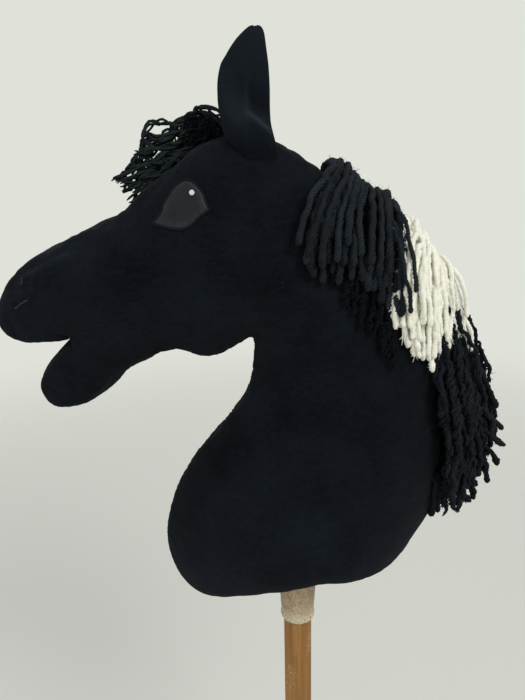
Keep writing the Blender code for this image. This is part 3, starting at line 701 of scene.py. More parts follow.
class Yarn:
    """Gathers twisted strands and loose fibres into one mesh."""

    def __init__(self):
        self.vertices = []
        self.faces = []
        self.ply = []
        self.tone = []
        self.count = 0
        self.rough = np.random.default_rng(7)
        # without a seed, noise_vector differs from run to run
        noise.seed_set(NOISE_SEED)

    def add_tube(self, path, radii, turns, shape, rough=0.0):
        """A tube whose section has a given shape and turns along its length."""
        across, up = frames_along(path)
        sides = len(shape)
        angle = math.tau * np.arange(sides) / sides + turns[:, None]
        size = radii[:, None] * (shape + rough * self.rough.standard_normal((len(path), sides)))
        rings = (path[:, None] + across[:, None] * (np.cos(angle) * size)[..., None]
                 + up[:, None] * (np.sin(angle) * size)[..., None])
        self.vertices.append(rings.reshape(-1, 3))
        # ply is 1 on the ridges of the section and 0 in its hollows, where the material paints shade;
        # a loose fibre has no hollows, gets 0 and is painted in the shade colour all over
        self.ply.append(np.tile((shape - shape.min()) / max(np.ptp(shape), 1e-9), len(path)))
        self.tone.append(np.full(len(path) * sides, self.rough.random()))
        self.faces += tube_faces(len(path), sides, self.count)
        self.count += len(path) * sides

    def strand(self, line, radius, pitch, phase, relief=0.10, step=0.6 * MM, slub=0.10,
               flare=0.0, rough=0.07):
        """A plied strand with slubs and, if wanted, ends that splay a little."""
        path = respace(line, step)
        length = along_length(path)
        end = np.minimum(length, length[-1] - length) / (1.2 * radius)
        uneven = np.array([noise.noise((s / (2.2 * radius), phase, 1.7)) for s in length])
        radii = radius * np.sqrt(1 - np.clip(1 - end, 0, 0.86) ** 2) * (1 + slub * uneven)
        radii *= 1 + flare * np.exp(-(end - 1.6) ** 2)
        turns = math.tau * length / pitch + phase + 1.2 * uneven
        self.add_tube(path, radii, turns, 1 + relief * FOUR_PLIES, rough)

    def unpicked(self, line, radius, curl, seed, plies=3, spread=0.75, thin=0.56, step=1.2 * MM):
        """A strand whose plies have come apart and curl round one another."""
        path = respace(line, step)
        length = along_length(path)
        across, up = frames_along(path)
        for ply in range(plies):
            wave = np.array([tuple(noise.noise_vector((s / (0.9 * curl), ply * 9, seed)))
                             for s in length])
            pace = 0.7 + 0.8 * ((seed * 7 + ply * 0.61) % 1)
            turn = math.tau * (length * pace / curl + ply / plies) + 3.2 * wave[:, 0] + seed
            out = radius * spread * (1 + 0.9 * wave[:, 1])
            centre = (path + across * (np.cos(turn) * out)[:, None]
                      + up * (np.sin(turn) * out)[:, None] + wave * 1.3 * radius)
            end = np.minimum(length, length[-1] - length) / (2 * radius)
            radii = radius * thin * (1 + 0.3 * wave[:, 2]) * np.sqrt(np.clip(end, 0.15, 1))
            self.add_tube(centre, radii, turn, np.array([1.0, 0.8, 1.0, 0.8, 1.0, 0.8]), 0.08)

    def fibre(self, line, radius):
        path = np.array([tuple(p) for p in line])
        radii = radius * np.linspace(1, 0.5, len(path))
        self.add_tube(path, radii, np.zeros(len(path)), np.ones(3))

    def piece(self, name, material):
        obj = mesh_piece(name, np.vstack(self.vertices), self.faces, material)
        add_values(obj, "ply", np.concatenate(self.ply))
        add_values(obj, "tone", np.concatenate(self.tone))
        return obj


def bezier(a, b, c, d, count=28):
    """A curve from a to d that leaves towards b and arrives from c."""
    t = np.linspace(0, 1, count)[:, None]
    a, b, c, d = (np.array(tuple(p), float) for p in (a, b, c, d))
    return (1 - t)**3 * a + 3 * (1 - t)**2 * t * b + 3 * (1 - t) * t**2 * c + t**3 * d


def rest_on_skin(path, distance, passes=4):
    """A line eased until it lies on the head without cutting into it."""
    skin = head_skin()
    path = path.copy()
    for _ in range(passes):
        for i in range(1, len(path)):
            path[i] = skin.clear(path[i], distance)
        path[1:-1] = 0.5 * path[1:-1] + 0.25 * (path[:-2] + path[2:])
    return path


def wander(path, size, wavelength, seed, kink=0.0, kink_length=11 * MM):
    """A line with the small waves of hanging yarn, and the kinks of unpicked yarn."""
    length = along_length(path)
    wave = [noise.noise_vector((s / wavelength, seed, -seed)) for s in length]
    moved = path + np.array([tuple(v) for v in wave]) * size
    if kink:
        across, up = frames_along(path)
        turn = math.tau * length / kink_length + 2 * np.array([v.x for v in wave]) + seed
        swell = kink * np.clip(length / (20 * MM), 0, 1)
        moved += across * (np.cos(turn) * swell)[:, None]
        moved += up * (np.sin(turn * 0.83) * swell)[:, None]
    return moved


def fray(yarn, path, radius, rng, count=6):
    """Splayed fibre ends at the cut end of a strand."""
    tip = path[-1]
    ahead = unit(path[-1] - path[-4])
    for _ in range(count):
        off = unit(ahead + np.array([rng.gauss(0, 0.45) for _ in range(3)]))
        start = tip - ahead * radius + np.array([rng.gauss(0, radius * 0.4) for _ in range(3)])
        length = rng.uniform(1.8, 3.6) * radius
        yarn.fibre([start, start + (ahead + off) * length / 2, start + (ahead + off) * length / 2
                    + off * length / 2], radius * rng.uniform(0.16, 0.3))


def fuzz(yarn, path, radius, rng, per_metre, thickness=0.09 * MM):
    """Fine loose fibres that stand off a strand."""
    for _ in range(int(along_length(path)[-1] * per_metre * rng.uniform(0.6, 1.4))):
        i = rng.randrange(1, len(path) - 1)
        off = unit(np.array([rng.gauss(0, 1) for _ in range(3)]))
        start = path[i] + off * radius * 0.7
        bend = unit(off + np.array([rng.gauss(0, 0.7) for _ in range(3)]))
        reach = rng.uniform(1.6, 4.5) * MM
        yarn.fibre([start, start + off * reach * 0.5, start + off * reach * 0.5 + bend * reach * 0.5],
                   thickness)


def line_at(points, share):
    """The point at a share of a polyline's length, in its own numbers."""
    points = np.array(points, float)
    lengths = along_length(points)
    at = share * lengths[-1]
    return np.array([np.interp(at, lengths, points[:, k]) for k in range(points.shape[1])])


def skin_side(x, z, side, off):
    """A point beside the head at x and z, off its skin; beyond the outline it has no skin."""
    found, normal = head_skin().surface(x, z, side)
    return None if found is None else found + normal * off


# Materials

class Nodes:
    """Adds nodes to a material, world or group, together with their values and links."""

    def __init__(self, tree):
        self.tree = tree

    def put(self, node, inputs):
        """Link inputs to sockets or give them values; a colour is written without alpha."""
        for key, value in inputs.items():
            socket = node.inputs[key]
            if isinstance(value, bpy.types.NodeSocket):
                self.tree.links.new(value, socket)
            else:
                socket.default_value = (*value, 1) if socket.type == "RGBA" else value

    def add(self, kind, inputs=None, **properties):
        node = self.tree.nodes.new("ShaderNode" + kind)
        for key, value in properties.items():
            setattr(node, key, value)
        self.put(node, inputs or {})
        return node

    def place(self, scale=None):
        """Coordinates on the object, and with a scale, stretched by it."""
        found = self.add("TexCoord").outputs["Object"]
        if scale:
            found = self.add("Mapping", {"Vector": found, "Scale": scale}).outputs["Vector"]
        return found

    def noise(self, place, scale, detail, roughness=0.5, distortion=0.0):
        inputs = {"Vector": place, "Scale": scale, "Detail": detail, "Roughness": roughness,
                  "Distortion": distortion}
        return self.add("TexNoise", inputs).outputs["Fac"]

    def cells(self, place, scale):
        """Distance from the middle of the nearest of many small cells."""
        inputs = {"Vector": place, "Scale": scale, "Randomness": 1.0}
        return self.add("TexVoronoi", inputs).outputs["Distance"]

    def attribute(self, name):
        return self.add("Attribute", attribute_name=name).outputs["Fac"]

    def axis(self, place, name):
        return self.add("SeparateXYZ", {0: place}).outputs[name]

    def math(self, operation, *values, clamp=False):
        node = self.add("Math", dict(enumerate(values)), operation=operation, use_clamp=clamp)
        return node.outputs[0]

    def fade(self, value, start, end, kind="SMOOTHSTEP"):
        """A value that changes from one amount to another; start and end are (value, amount)."""
        inputs = {"Value": value, "From Min": start[0], "From Max": end[0],
                  "To Min": start[1], "To Max": end[1]}
        return self.add("MapRange", inputs, interpolation_type=kind).outputs["Result"]

    def ramp(self, factor, stops):
        """Colours, or amounts, that follow a factor."""
        node = self.add("ValToRGB", {"Fac": factor})
        elements = node.color_ramp.elements
        for _ in stops[2:]:
            elements.new(0.5)
        for element, (position, value) in zip(elements, stops):
            element.position = position
            element.color = (*value, 1) if isinstance(value, tuple) else (value, value, value, 1)
        return node.outputs["Color"]

    def mix(self, factor, a, b, blend="MIX"):
        node = self.add("Mix", {"Factor": factor, "A": a, "B": b}, data_type="RGBA",
                        blend_type=blend)
        return node.outputs["Result"]


def times(colour, share):
    """A colour made darker or lighter."""
    return tuple(min(1, c * share) for c in colour)


def new_material(name):
    material = bpy.data.materials.new(name)
    material.use_nodes = True
    return material, Nodes(material.node_tree)


def finish(nodes, colour, height, roughness, strength, depth, sheen=0.0, specular=0.03):
    """Give the material's own shader its colour, its gloss and its relief."""
    relief = nodes.add("Bump", {"Strength": strength, "Distance": depth, "Height": height})
    nodes.put(nodes.tree.nodes["Principled BSDF"], {
        "Base Color": colour, "Roughness": roughness, "Specular IOR Level": specular,
        "Sheen Weight": sheen, "Sheen Roughness": 0.55, "Normal": relief.outputs["Normal"]})


def new_group(name, inputs):
    """The nodes of a new group that makes a colour and a height, and what it is given."""
    tree = bpy.data.node_groups.new(name, "ShaderNodeTree")
    for label, default in inputs.items():
        kind = "Color" if isinstance(default, tuple) else "Float"
        socket = tree.interface.new_socket(label, in_out="INPUT", socket_type="NodeSocket" + kind)
        socket.default_value = (*default, 1) if kind == "Color" else default
    for label, kind in (("Colour", "Color"), ("Height", "Float")):
        tree.interface.new_socket(label, in_out="OUTPUT", socket_type="NodeSocket" + kind)
    return Nodes(tree), tree.nodes.new("NodeGroupInput").outputs


def close_group(nodes, colour, height):
    nodes.put(nodes.tree.nodes.new("NodeGroupOutput"), {"Colour": colour, "Height": height})
    return nodes.tree


@functools.lru_cache(maxsize=1)
def nap_group():
    """Napped cloth: cloudy patches where the nap lies another way, short pile, lint, and painted
    highlights where an attribute asks for them.
    """
    nodes, given = new_group("Nap", {
        "Colour": (0.01, 0.01, 0.01), "Brushed": (0.03, 0.03, 0.03),
        "Brushed up": (0.06, 0.06, 0.06), "Lint": (0.3, 0.3, 0.3), "Patch scale": 14.0,
        "Pile scale": 900.0, "Lint amount": 0.02})
    place = nodes.place()
    patches = nodes.noise(place, given["Patch scale"], 3.0, 0.6)
    streaks = nodes.noise(nodes.place((0.6, 1.0, 1.3)), 230.0, 4.0, 0.75)
    pile = nodes.noise(place, given["Pile scale"], 3.0, 0.7)
    brushed = nodes.math("MULTIPLY_ADD", nodes.ramp(patches, [(0.36, 0.0), (0.68, 1.0)]), 0.8,
                         nodes.ramp(streaks, [(0.38, 0.0), (0.66, 0.35)]), clamp=True)
    cloth = nodes.mix(brushed, given["Colour"], given["Brushed"])
    shaded = nodes.mix(1.0, cloth, nodes.ramp(pile, [(0.30, 0.55), (0.72, 1.35)]), "MULTIPLY")
    # painted highlight: paler where the attribute read here is high, standing in for light caught by
    # seams, ridges and faces turned to the lamps
    paler = nodes.mix(nodes.attribute("brushed_up"), shaded, given["Brushed up"])
    speck = nodes.math("LESS_THAN", nodes.cells(place, 65.0), given["Lint amount"])
    return close_group(nodes, nodes.mix(speck, paler, given["Lint"]), pile)


@functools.lru_cache(maxsize=1)
def ply_group():
    """Plied yarn or thread: painted shade between the plies, with fibres and uneven dye."""
    nodes, given = new_group("Plies", {
        "Colour": (0.5, 0.5, 0.5), "Between": (0.1, 0.1, 0.1), "Faded": (0.6, 0.6, 0.6),
        "Fibre scale": 1800.0})
    place = nodes.place()
    fibres = nodes.noise(place, given["Fibre scale"], 2.0, 0.6)
    dye = nodes.ramp(nodes.noise(place, 55.0, 2.0), [(0.40, 0.0), (0.66, 1.0)])
    uneven = nodes.math("MULTIPLY_ADD", dye, 0.45, nodes.attribute("tone"), clamp=True)
    dyed = nodes.mix(uneven, given["Colour"], given["Faded"])
    # painted shade: where the ply value is low, in the hollows between plies, the colour turns to the
    # shade colour
    depth = nodes.ramp(nodes.attribute("ply"), [(0.0, 0.0), (0.75, 1.0)])
    return close_group(nodes, nodes.mix(depth, given["Between"], dyed), fibres)


@functools.lru_cache(maxsize=None)
def nap_material(name, colour, brushed, lint, patch_scale, pile_scale, lint_amount, sheen):
    material, nodes = new_material(name)
    nap = nodes.add("Group", node_tree=nap_group())
    nodes.put(nap, {"Colour": colour, "Brushed": brushed, "Brushed up": times(brushed, 2.2),
                    "Lint": lint, "Patch scale": patch_scale, "Pile scale": pile_scale,
                    "Lint amount": lint_amount})
    finish(nodes, nap.outputs["Colour"], nap.outputs["Height"], roughness=0.95, strength=0.55,
           depth=0.8 * MM, sheen=sheen)
    return material


@functools.lru_cache(maxsize=None)
def ply_material(name, colour, between, faded, sheen=0.0):
    material, nodes = new_material(name)
    plies = nodes.add("Group", node_tree=ply_group())
    nodes.put(plies, {"Colour": colour, "Between": between, "Faded": faded})
    finish(nodes, plies.outputs["Colour"], plies.outputs["Height"], roughness=0.85, strength=0.5,
           depth=0.3 * MM, sheen=sheen)
    return material


def fleece_material():
    cloth = bpy.context.scene.horse_cloth
    return nap_material("black_fleece", tuple(cloth.fleece), tuple(cloth.fleece_brushed),
                        lint=(0.16, 0.17, 0.18), patch_scale=11.0, pile_scale=cloth.pile_scale,
                        lint_amount=0.012, sheen=0.02)


def yarn_material(tone):
    colour = tuple(getattr(bpy.context.scene.horse_yarn, tone))
    # shares of the colour for the painted shade between the plies and for the faded dye
    between, faded = (0.89, 0.98) if tone == "white" else (0.74, 2.1)
    return ply_material(tone + "_yarn", colour, times(colour, between), times(colour, faded),
                        sheen=0.02)


@functools.lru_cache(maxsize=1)
def wood_material():
    """Banded and grained wood, with scuffs in patches along a worn streak."""
    stick = bpy.context.scene.horse_stick
    material, nodes = new_material("stick_wood")
    along = nodes.place((1.0, 1.0, 0.05))
    short = nodes.place((1.0, 1.0, 0.5))
    grain = nodes.noise(along, 420.0, 6.0, 0.65)
    bands = nodes.noise(along, 150.0, 2.0, distortion=0.4)
    wood = tuple(stick.wood)
    banded = nodes.ramp(bands, [(0.33, times(wood, 0.82)), (0.5, wood), (0.70, times(wood, 1.15))])
    grained = nodes.mix(0.8, banded, nodes.ramp(grain, [(0.32, 0.78), (0.58, 1.05)]), "MULTIPLY")
    beside = nodes.math("ABSOLUTE", nodes.math("ADD", nodes.axis(nodes.place(), "X"), 3 * MM))
    streak = nodes.fade(beside, (0.0, 1.16), (8 * MM, 0.80), "LINEAR")
    patches = nodes.math("MULTIPLY", nodes.noise(short, 40.0, 1.0), streak)
    scuffs = nodes.math("MULTIPLY", nodes.noise(short, 900.0, 2.0, 0.6), patches)
    scuffed = nodes.mix(nodes.ramp(scuffs, [(0.30, 0.0), (0.345, 0.6)]), grained, stick.scuff)
    finish(nodes, scuffed, grain, roughness=0.6, strength=0.35, depth=0.25 * MM)
    return material


@functools.lru_cache(maxsize=1)
def boucle_material():
    """Looped cloth with stains; painted shade darkens it between its loops and above its rolled hem,
    under the head, so that the hem is paler.
    """
    stick = bpy.context.scene.horse_stick
    material, nodes = new_material("cream_boucle")
    place = nodes.place()
    loops = nodes.cells(place, 1000.0)
    fibres = nodes.noise(place, 1500.0, 3.0)
    stains = nodes.noise(place, 120.0, 4.0, 0.7)
    cream = tuple(stick.pocket)
    stained = nodes.ramp(stains, [(0.30, times(cream, 0.78)), (0.52, cream),
                                  (0.75, times(cream, 1.2))])
    # painted shade: darker where the cells meet, between the loops
    painted_loop_shade = nodes.ramp(loops, [(0.0, 1.1), (0.5, 0.95), (0.75, (0.62, 0.50, 0.36))])
    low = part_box("stick_pocket")[0].z
    # painted shade: from the paler hem colour near the lower edge to the darker pocket colour higher
    # up, under the head
    hem = nodes.fade(nodes.axis(place, "Z"), (low + 16 * MM, 0.0), (low + 3 * MM, 0.9))
    rolled = nodes.mix(hem, stained, stick.hem)
    finish(nodes, nodes.mix(1.0, rolled, painted_loop_shade, "MULTIPLY"), nodes.math("SUBTRACT", fibres, loops),
           roughness=0.95, strength=0.8, depth=0.7 * MM, sheen=0.1)
    return material


@functools.lru_cache(maxsize=1)
def eye_material():
    """Satin with stitches that run from the middle to the rim."""
    material, nodes = new_material("eye_satin")
    rim = nodes.attribute("rim")
    place = nodes.add("CombineXYZ", {"X": nodes.math("MULTIPLY", nodes.attribute("around"), 60.0),
                                     "Y": nodes.math("MULTIPLY", rim, 3.0)}).outputs[0]
    stitches = nodes.noise(place, 1.0, 3.0, 0.7)
    satin = tuple(bpy.context.scene.horse_eye.satin)
    # a paler band just inside the rim; the very rim darker, painted shade where the patch meets the
    # skin
    tone = nodes.ramp(rim, [(0.0, satin), (0.6, satin), (0.9, times(satin, 1.5)),
                            (1.0, times(satin, 0.6))])
    shaded = nodes.mix(1.0, tone, nodes.ramp(stitches, [(0.30, 0.65), (0.70, 1.3)]), "MULTIPLY")
    finish(nodes, shaded, stitches, roughness=0.5, strength=0.5, depth=0.3 * MM, specular=0.12)
    return material


# Settings

def colour_setting(name, description, default):
    return bpy.props.FloatVectorProperty(name=name, description=description, subtype="COLOR",
                                         size=3, min=0, max=1, default=default)


def length_setting(name, description, default):
    return bpy.props.FloatProperty(name=name, description=description, unit="LENGTH",
                                   min=0, default=default)


def number_setting(name, description, default, least=0.0):
    return bpy.props.FloatProperty(name=name, description=description, min=least, default=default)


class HorseCloth(bpy.types.PropertyGroup):
    """Fleece of the head and ears"""

    fleece: colour_setting("Fleece", "Colour of the black fleece", (0.0026, 0.0038, 0.0053))
    # the brushed fleece colour, made 2.2 times lighter, is also the colour of the painted highlights
    # on the head and ears
    fleece_brushed: colour_setting("Brushed fleece", "Colour where the nap is brushed up",
                                   (0.0084, 0.0116, 0.0156))
    filling: colour_setting("Filling", "Colour of the fibre filling", (0.78, 0.78, 0.75))
    pile_scale: number_setting("Pile scale", "How fine the tufts of the pile are, per metre",
                               1100.0, least=1.0)


class HorseYarn(bpy.types.PropertyGroup):
    """Yarn of the mane and forelock"""

    black: colour_setting("Black yarn", "Colour of the black yarn", (0.0116, 0.0150, 0.0182))
    kinked: colour_setting("Kinked yarn", "Colour of the yarn at the back of the mane",
                           (0.0078, 0.0104, 0.0128))
    # painted shade: the black yarn darkened to stand in for shadow; it colours the loosened lower
    # ends of the front of the mane and the root of the forelock
    shaded: colour_setting("Lower yarn", "Colour of the yarn's matted lower ends",
                           (0.0028, 0.0038, 0.0050))
    fine: colour_setting("Fine yarn", "Colour of the forelock's yarn", (0.0100, 0.0145, 0.0145))
    white: colour_setting("White yarn", "Colour of the off-white yarn", (0.98, 0.97, 0.84))
    radius: length_setting("Strand radius", "Radius of a mane strand", 2.2 * MM)
    forelock_radius: length_setting("Forelock radius", "Radius of a forelock strand", 1.7 * MM)
    pitch: length_setting("Twist", "Length of one turn of the twist", 11 * MM)


class HorseEye(bpy.types.PropertyGroup):
    """Patches and stitches of eyes and nostrils"""

    satin: colour_setting("Eye satin", "Colour of the eye patch", (0.0120, 0.0148, 0.0170))
    glint: colour_setting("Eye highlight", "Colour of the highlight", (0.92, 0.92, 0.92))
    thread: colour_setting("Thread", "Colour of the nostril stitches", (0.034, 0.039, 0.045))
    patch: length_setting("Patch thickness", "How far the eye patch stands up", 1.1 * MM)


class HorseStick(bpy.types.PropertyGroup):
    """Stick and its pocket"""

    wood: colour_setting("Wood", "Colour of the stick", (0.345, 0.176, 0.060))
    scuff: colour_setting("Scuffs", "Colour of the worn streaks", (0.56, 0.43, 0.27))
    # painted shade: the pocket colour is written darker than the hem colour, for the shadow under the
    # head
    pocket: colour_setting("Pocket", "Colour of the cream cloth", (0.54, 0.435, 0.295))
    hem: colour_setting("Hem", "Colour of the rolled hem of the pocket", (0.76, 0.69, 0.50))
    slack: length_setting("Pocket slack", "Room between stick and pocket", 0.4 * MM)
    wall: length_setting("Pocket wall", "Thickness of the pocket's cloth", 1.7 * MM)


class HorseStage(bpy.types.PropertyGroup):
    """Floor, backdrop and light"""

    backdrop: colour_setting("Backdrop", "Colour behind the horse", (0.745, 0.760, 0.700))
    key: number_setting("Key light", "Power of the main lamp in watts", 19.0)
    fill: number_setting("Fill light", "Power of the other two lamps in watts", 6.5)
    room: number_setting("Room light", "Strength of the light all round", 0.50)


# Pieces

class HORSE_OT_head(bpy.types.Operator):
    """Make the fleece panels of the filled head"""

    bl_idname = "horse.head"
    bl_label = "Fleece head"

    def execute(self, context):
        skin = head_skin()
        material = fleece_material()
        for number, node in enumerate(PANELS):
            chosen = [p for p, panel in zip(skin.polygons, skin.panels) if panel == number]
            used = sorted({v for polygon in chosen for v in polygon})
            new_index = {v: i for i, v in enumerate(used)}
            points = skin.points[used]
            faces = [[new_index[v] for v in polygon] for polygon in chosen]
            if node == "base_panel":
                points, faces = self.cut_hole(points, faces)
            obj = mesh_piece("fleece_" + node, points, faces, material)
            add_values(obj, "brushed_up", skin.brushed()[used])
            cloth = obj.modifiers.new("Cloth", "SOLIDIFY")
            cloth.thickness = CLOTH
            cloth.offset = -1
            baked(obj)
            on_head(obj, "black_fleece", node)
        return {"FINISHED"}

    def cut_hole(self, points, faces):
        """Open the underside for the pocket, with the edge inside the pocket's wall."""
        stick = bpy.context.scene.horse_stick
        inner = pocket_bore() + stick.wall * 0.5
        points = points.copy()
        radius = np.hypot(points[:, 0], points[:, 1])
        kept = [f for f in faces if all(radius[v] > inner - 1.5 * MM for v in f)]
        for v in {v for f in kept for v in f}:
            if radius[v] < inner + 2 * MM:
                points[v, :2] *= (inner + 0.6 * MM) / radius[v]
        return points, kept


class HORSE_OT_filling(bpy.types.Operator):
    """Make the loose fibre inside the head"""

    bl_idname = "horse.filling"
    bl_label = "Fibre filling"
    facet = 6 * MM
    # least depth under the skin, and how far the fibre is drawn in from its solid, with its lumps
    depth = 3.2 * MM
    drawn_in = 1.2 * MM
    lump_height = 1.0 * MM

    def execute(self, context):
        colour = tuple(context.scene.horse_cloth.filling)
        material = nap_material("fibre_filling", times(colour, 0.8), colour, lint=colour,
                                patch_scale=30.0, pile_scale=500.0, lint_amount=0.0, sheen=0.1)
        for node in ("neck_stuffing", "cheek_stuffing", "muzzle_stuffing", "lip_stuffing"):
            mesh = frame["nodes"][node].data.copy()
            obj = bpy.data.objects.new(node.replace("stuffing", "fibre"), mesh)
            context.scene.collection.objects.link(obj)
            remesh = obj.modifiers.new("Batting", "REMESH")
            remesh.mode = "VOXEL"
            remesh.voxel_size = self.facet
            baked(obj)
            for vertex in obj.data.vertices:
                move = self.drawn_in + self.lump_height * noise.noise(vertex.co * 90)
                vertex.co = head_skin().inside(vertex.co - vertex.normal * move, self.depth)
            obj.data.shade_smooth()
            obj.data.materials.clear()
            obj.data.materials.append(material)
            on_head(obj, "fibre_filling", node)
        return {"FINISHED"}


def pocket_bore():
    low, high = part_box("stick")
    return (high.x - low.x) / 2 + bpy.context.scene.horse_stick.slack


class HORSE_OT_stick(bpy.types.Operator):
    """Finish the wooden stick"""

    bl_idname = "horse.stick"
    bl_label = "Wooden stick"

    def execute(self, context):
        stick = frame["nodes"]["stick"]
        stick.data.materials.clear()
        stick.data.materials.append(wood_material())
        stick.data.shade_smooth()
        return {"FINISHED"}


class HORSE_OT_pocket(bpy.types.Operator):
    """Make the looped cream cloth pocket that holds the stick"""

    bl_idname = "horse.pocket"
    bl_label = "Stick pocket"
    columns = 96
    row_height = 1.1 * MM
    # section of the rolled hem in mm: out from the bore, and up from the pocket's lower edge
    roll = [(0, 3.0), (0.3, 0.8), (1.0, 0), (1.9, 0.3), (2.4, 1.6), (2.5, 3.0), (2.0, 4.4)]

    def section(self, wall):
        """Radius and height of each ring: up the bore, round the hem, up outside and over."""
        inner = pocket_bore()
        outer = inner + wall
        low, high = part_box("stick_pocket")
        full = (high.x - low.x) / 2
        hem = low.z
        top = high.z
        profile = [(inner, top - 2 * wall)]
        profile += [(inner + out * MM, hem + up * MM) for out, up in self.roll]
        profile.append((outer - 0.3 * MM, hem + 5.4 * MM))
        height = hem + 6.5 * MM
        while height < HEAD_FOOT + 8 * MM:
            swell = smooth_share(height, hem, HEAD_FOOT - 22 * MM)
            profile.append((mix((outer, full - 0.4 * MM), swell), height))
            height += self.row_height
        return profile + [(outer, HEAD_FOOT + 16 * MM), (outer, top - 2 * wall),
                          (outer - 2 * wall, top - 0.2 * MM), (0.5 * MM, top - 0.1 * MM)]

    def execute(self, context):
        profile = self.section(context.scene.horse_stick.wall)
        points = []
        for number, (radius, z) in enumerate(profile):
            for k in range(self.columns):
                a = math.tau * k / self.columns
                across = Vector((math.cos(a), math.sin(a), 0))
                p = across * radius + Vector((0, 0, z))
                # the bore and what is inside the head stay smooth
                if number > 3 and z < HEAD_FOOT + 12 * MM:
                    cells = noise.cell_vector(p * 10)
                    loops = noise.noise(p * 330) + 0.6 * noise.noise(p * 620)
                    folds = noise.noise(Vector((a * 1.6, z * 18, 4)))
                    p += across * (0.30 * loops + 0.45 * folds + 0.02 * cells.x) * MM
                    p.z += 0.35 * MM * noise.noise(Vector((math.cos(a), math.sin(a), 7)) * 2)
                points.append(p)
        faces = tube_faces(len(profile), self.columns)
        obj = outward(mesh_piece("stick_pocket_cloth", points, faces, boucle_material()))
        on_head(obj, "cream_boucle", "stick_pocket")
        return {"FINISHED"}


def ear_ridge(x, h):
    """How sharply the ear folds at a place in mm, and how far above the fold it is."""
    return smooth_share(x, -46, -28), h - (EAR_RIDGE[1] - 0.76 * (x - EAR_RIDGE[0]))


def ear_vein(x, h):
    """How near a place in mm is to the line that stands up along the middle of the ear."""
    return bump(x + 33 + (h - 360) * 0.06, 2.2)


def ear_point(row, share, side, layer):
    """A point of an ear leaf: row is height, front and back edge in mm.

    Above its fold the leaf stands up, cupped. Below it the foot lies over the head as a pouch.
    """
    height, front, back = row
    slope = max(0.0, 1 - height / EAR_SLOPE_END) * mix(EAR_FOOT_SLOPE, smooth_share(share, 0, 0.4))
    x = EAR_FOOT[0] + front + (back - front) * share
    h = EAR_FOOT[1] + height + slope
    bow = math.sin(math.pi * (0.35 + 0.6 * height / EAR_HEIGHT))
    cup = EAR_CUP * (1 - (2 * share - 1)**2) * bow
    leaf = EAR_FOOT_Y + EAR_LEAN_OUT * height - cup
    fold, over_ridge = ear_ridge(x, h)
    leaf -= EAR_FOLD * fold * bump(over_ridge - 8, 9)
    leaf += EAR_VEIN * ear_vein(x, h) * bump(h - 366, 14)
    found = head_skin().surface(x * MM, HEAD_FOOT + (h - height) * MM, side)[0]
    # 0 along the middle of the leaf, 1 along its front and back edge
    edge = abs(2 * share - 1)
    seated = 1 - smooth_share(over_ridge, mix((-24, -5), fold), mix((8, 2), fold))
    round_foot = smooth_share(height, -2, 30)
    swell = mix((2.5, 9), smooth_share(x, -46, -24)) * round_foot * (1 - edge**4)
    pouch = abs(found.y) / MM - 1.8 + swell + 1.4 * fold * bump(over_ridge + 3, 3.5)
    y = mix((leaf, pouch), seated) + 0.5 * noise.noise((x / 13, h / 13, side))
    # the layer thins out towards the rim of the leaf and its foot
    rim = max(edge, (height - 66) / 10)
    y += layer * EAR_THICKNESS * (1 - 0.75 * min(1, rim) ** 5) * min(1, height / 20)
    point = Vector((x * MM, side * y * MM, HEAD_FOOT + h * MM))
    if height < 3:
        return point
    return head_skin().clear(point, (0.9 + 1.5 * layer) * min(1, height / 16) * MM)


class HORSE_OT_ears(bpy.types.Operator):
    """Make the two leaves of each ear"""

    bl_idname = "horse.ears"
    bl_label = "Ears"
    columns = 26

    def execute(self, context):
        rows = smooth_line(EAR_ROWS, 6)
        width = self.columns + 1
        faces = [(a + k, a + k + 1, a + width + k + 1, a + width + k)
                 for a in range(0, (len(rows) - 1) * width, width) for k in range(self.columns)]
        for side, tag in SIDES:
            for leaf, layer in (("outer", 0), ("inner", 1)):
                points = [ear_point(row, k / self.columns, side, layer)
                          for row in rows for k in range(width)]
                name = f"ear_{leaf}_{tag}"
                obj = mesh_piece("fleece_" + name, points, faces, fleece_material())
                cloth = obj.modifiers.new("Cloth", "SOLIDIFY")
                cloth.thickness = 1.5 * MM
                cloth.offset = 0
                rounding = obj.modifiers.new("Round", "SUBSURF")
                rounding.levels = 1
                rounding.render_levels = 1
                on_head(outward(baked(obj)), "black_fleece", name)
                self.wear(obj)
        return {"FINISHED"}

    def wear(self, obj):
        """Painted highlight over the ear, strongest along the fold, lighter at the tip and along the
        middle line; the foot stays darker as painted shade.
        """
        worn = []
        for vertex in obj.data.vertices:
            x = vertex.co.x / MM
            h = (vertex.co.z - HEAD_FOOT) / MM
            fold, over_ridge = ear_ridge(x, h)
            # painted light: none at the foot, left darker as the pouch's shade, a general lightening
            # above it, a highlight on the fold, and more at the tip and along the middle line
            worn.append(0.32 * smooth_share(h, 330, 356)
                        + 0.8 * smooth_share(x, -36, -29) * bump(over_ridge + 1, 1.9)
                        + 0.2 * smooth_share(h, 385, 408)
                        + 0.2 * ear_vein(x, h) * bump(h - 364, 11))
        add_values(obj, "brushed_up", worn)


def patch(name, outline, centre, thickness, lift, side, material, rings=9):
    """A domed patch on the side of the head, with its outline in x and z."""
    count = len(outline)
    middle = np.array(centre)
    top = []
    bottom = []
    rim = []
    for ring in range(rings + 1):
        share = ring / rings
        dome = thickness * (1 - share**6)
        for point in outline:
            at = middle + (np.array(point) - middle) * share
            top.append(skin_side(*at, side, lift + dome))
            bottom.append(skin_side(*at, side, lift * 0.4))
            rim.append(share)
    size = len(top)
    faces = []
    for a in range(0, rings * count, count):
        faces += band(a, a + count, count) + band(size + a + count, size + a, count)
    faces += band(rings * count, size + rings * count, count)
    obj = mesh_piece(name, top + bottom, faces, material)
    add_values(obj, "rim", rim * 2)
    add_values(obj, "around", [k / count for k in range(count)] * (2 * (rings + 1)))
    return outward(obj, merge=0.01 * MM)


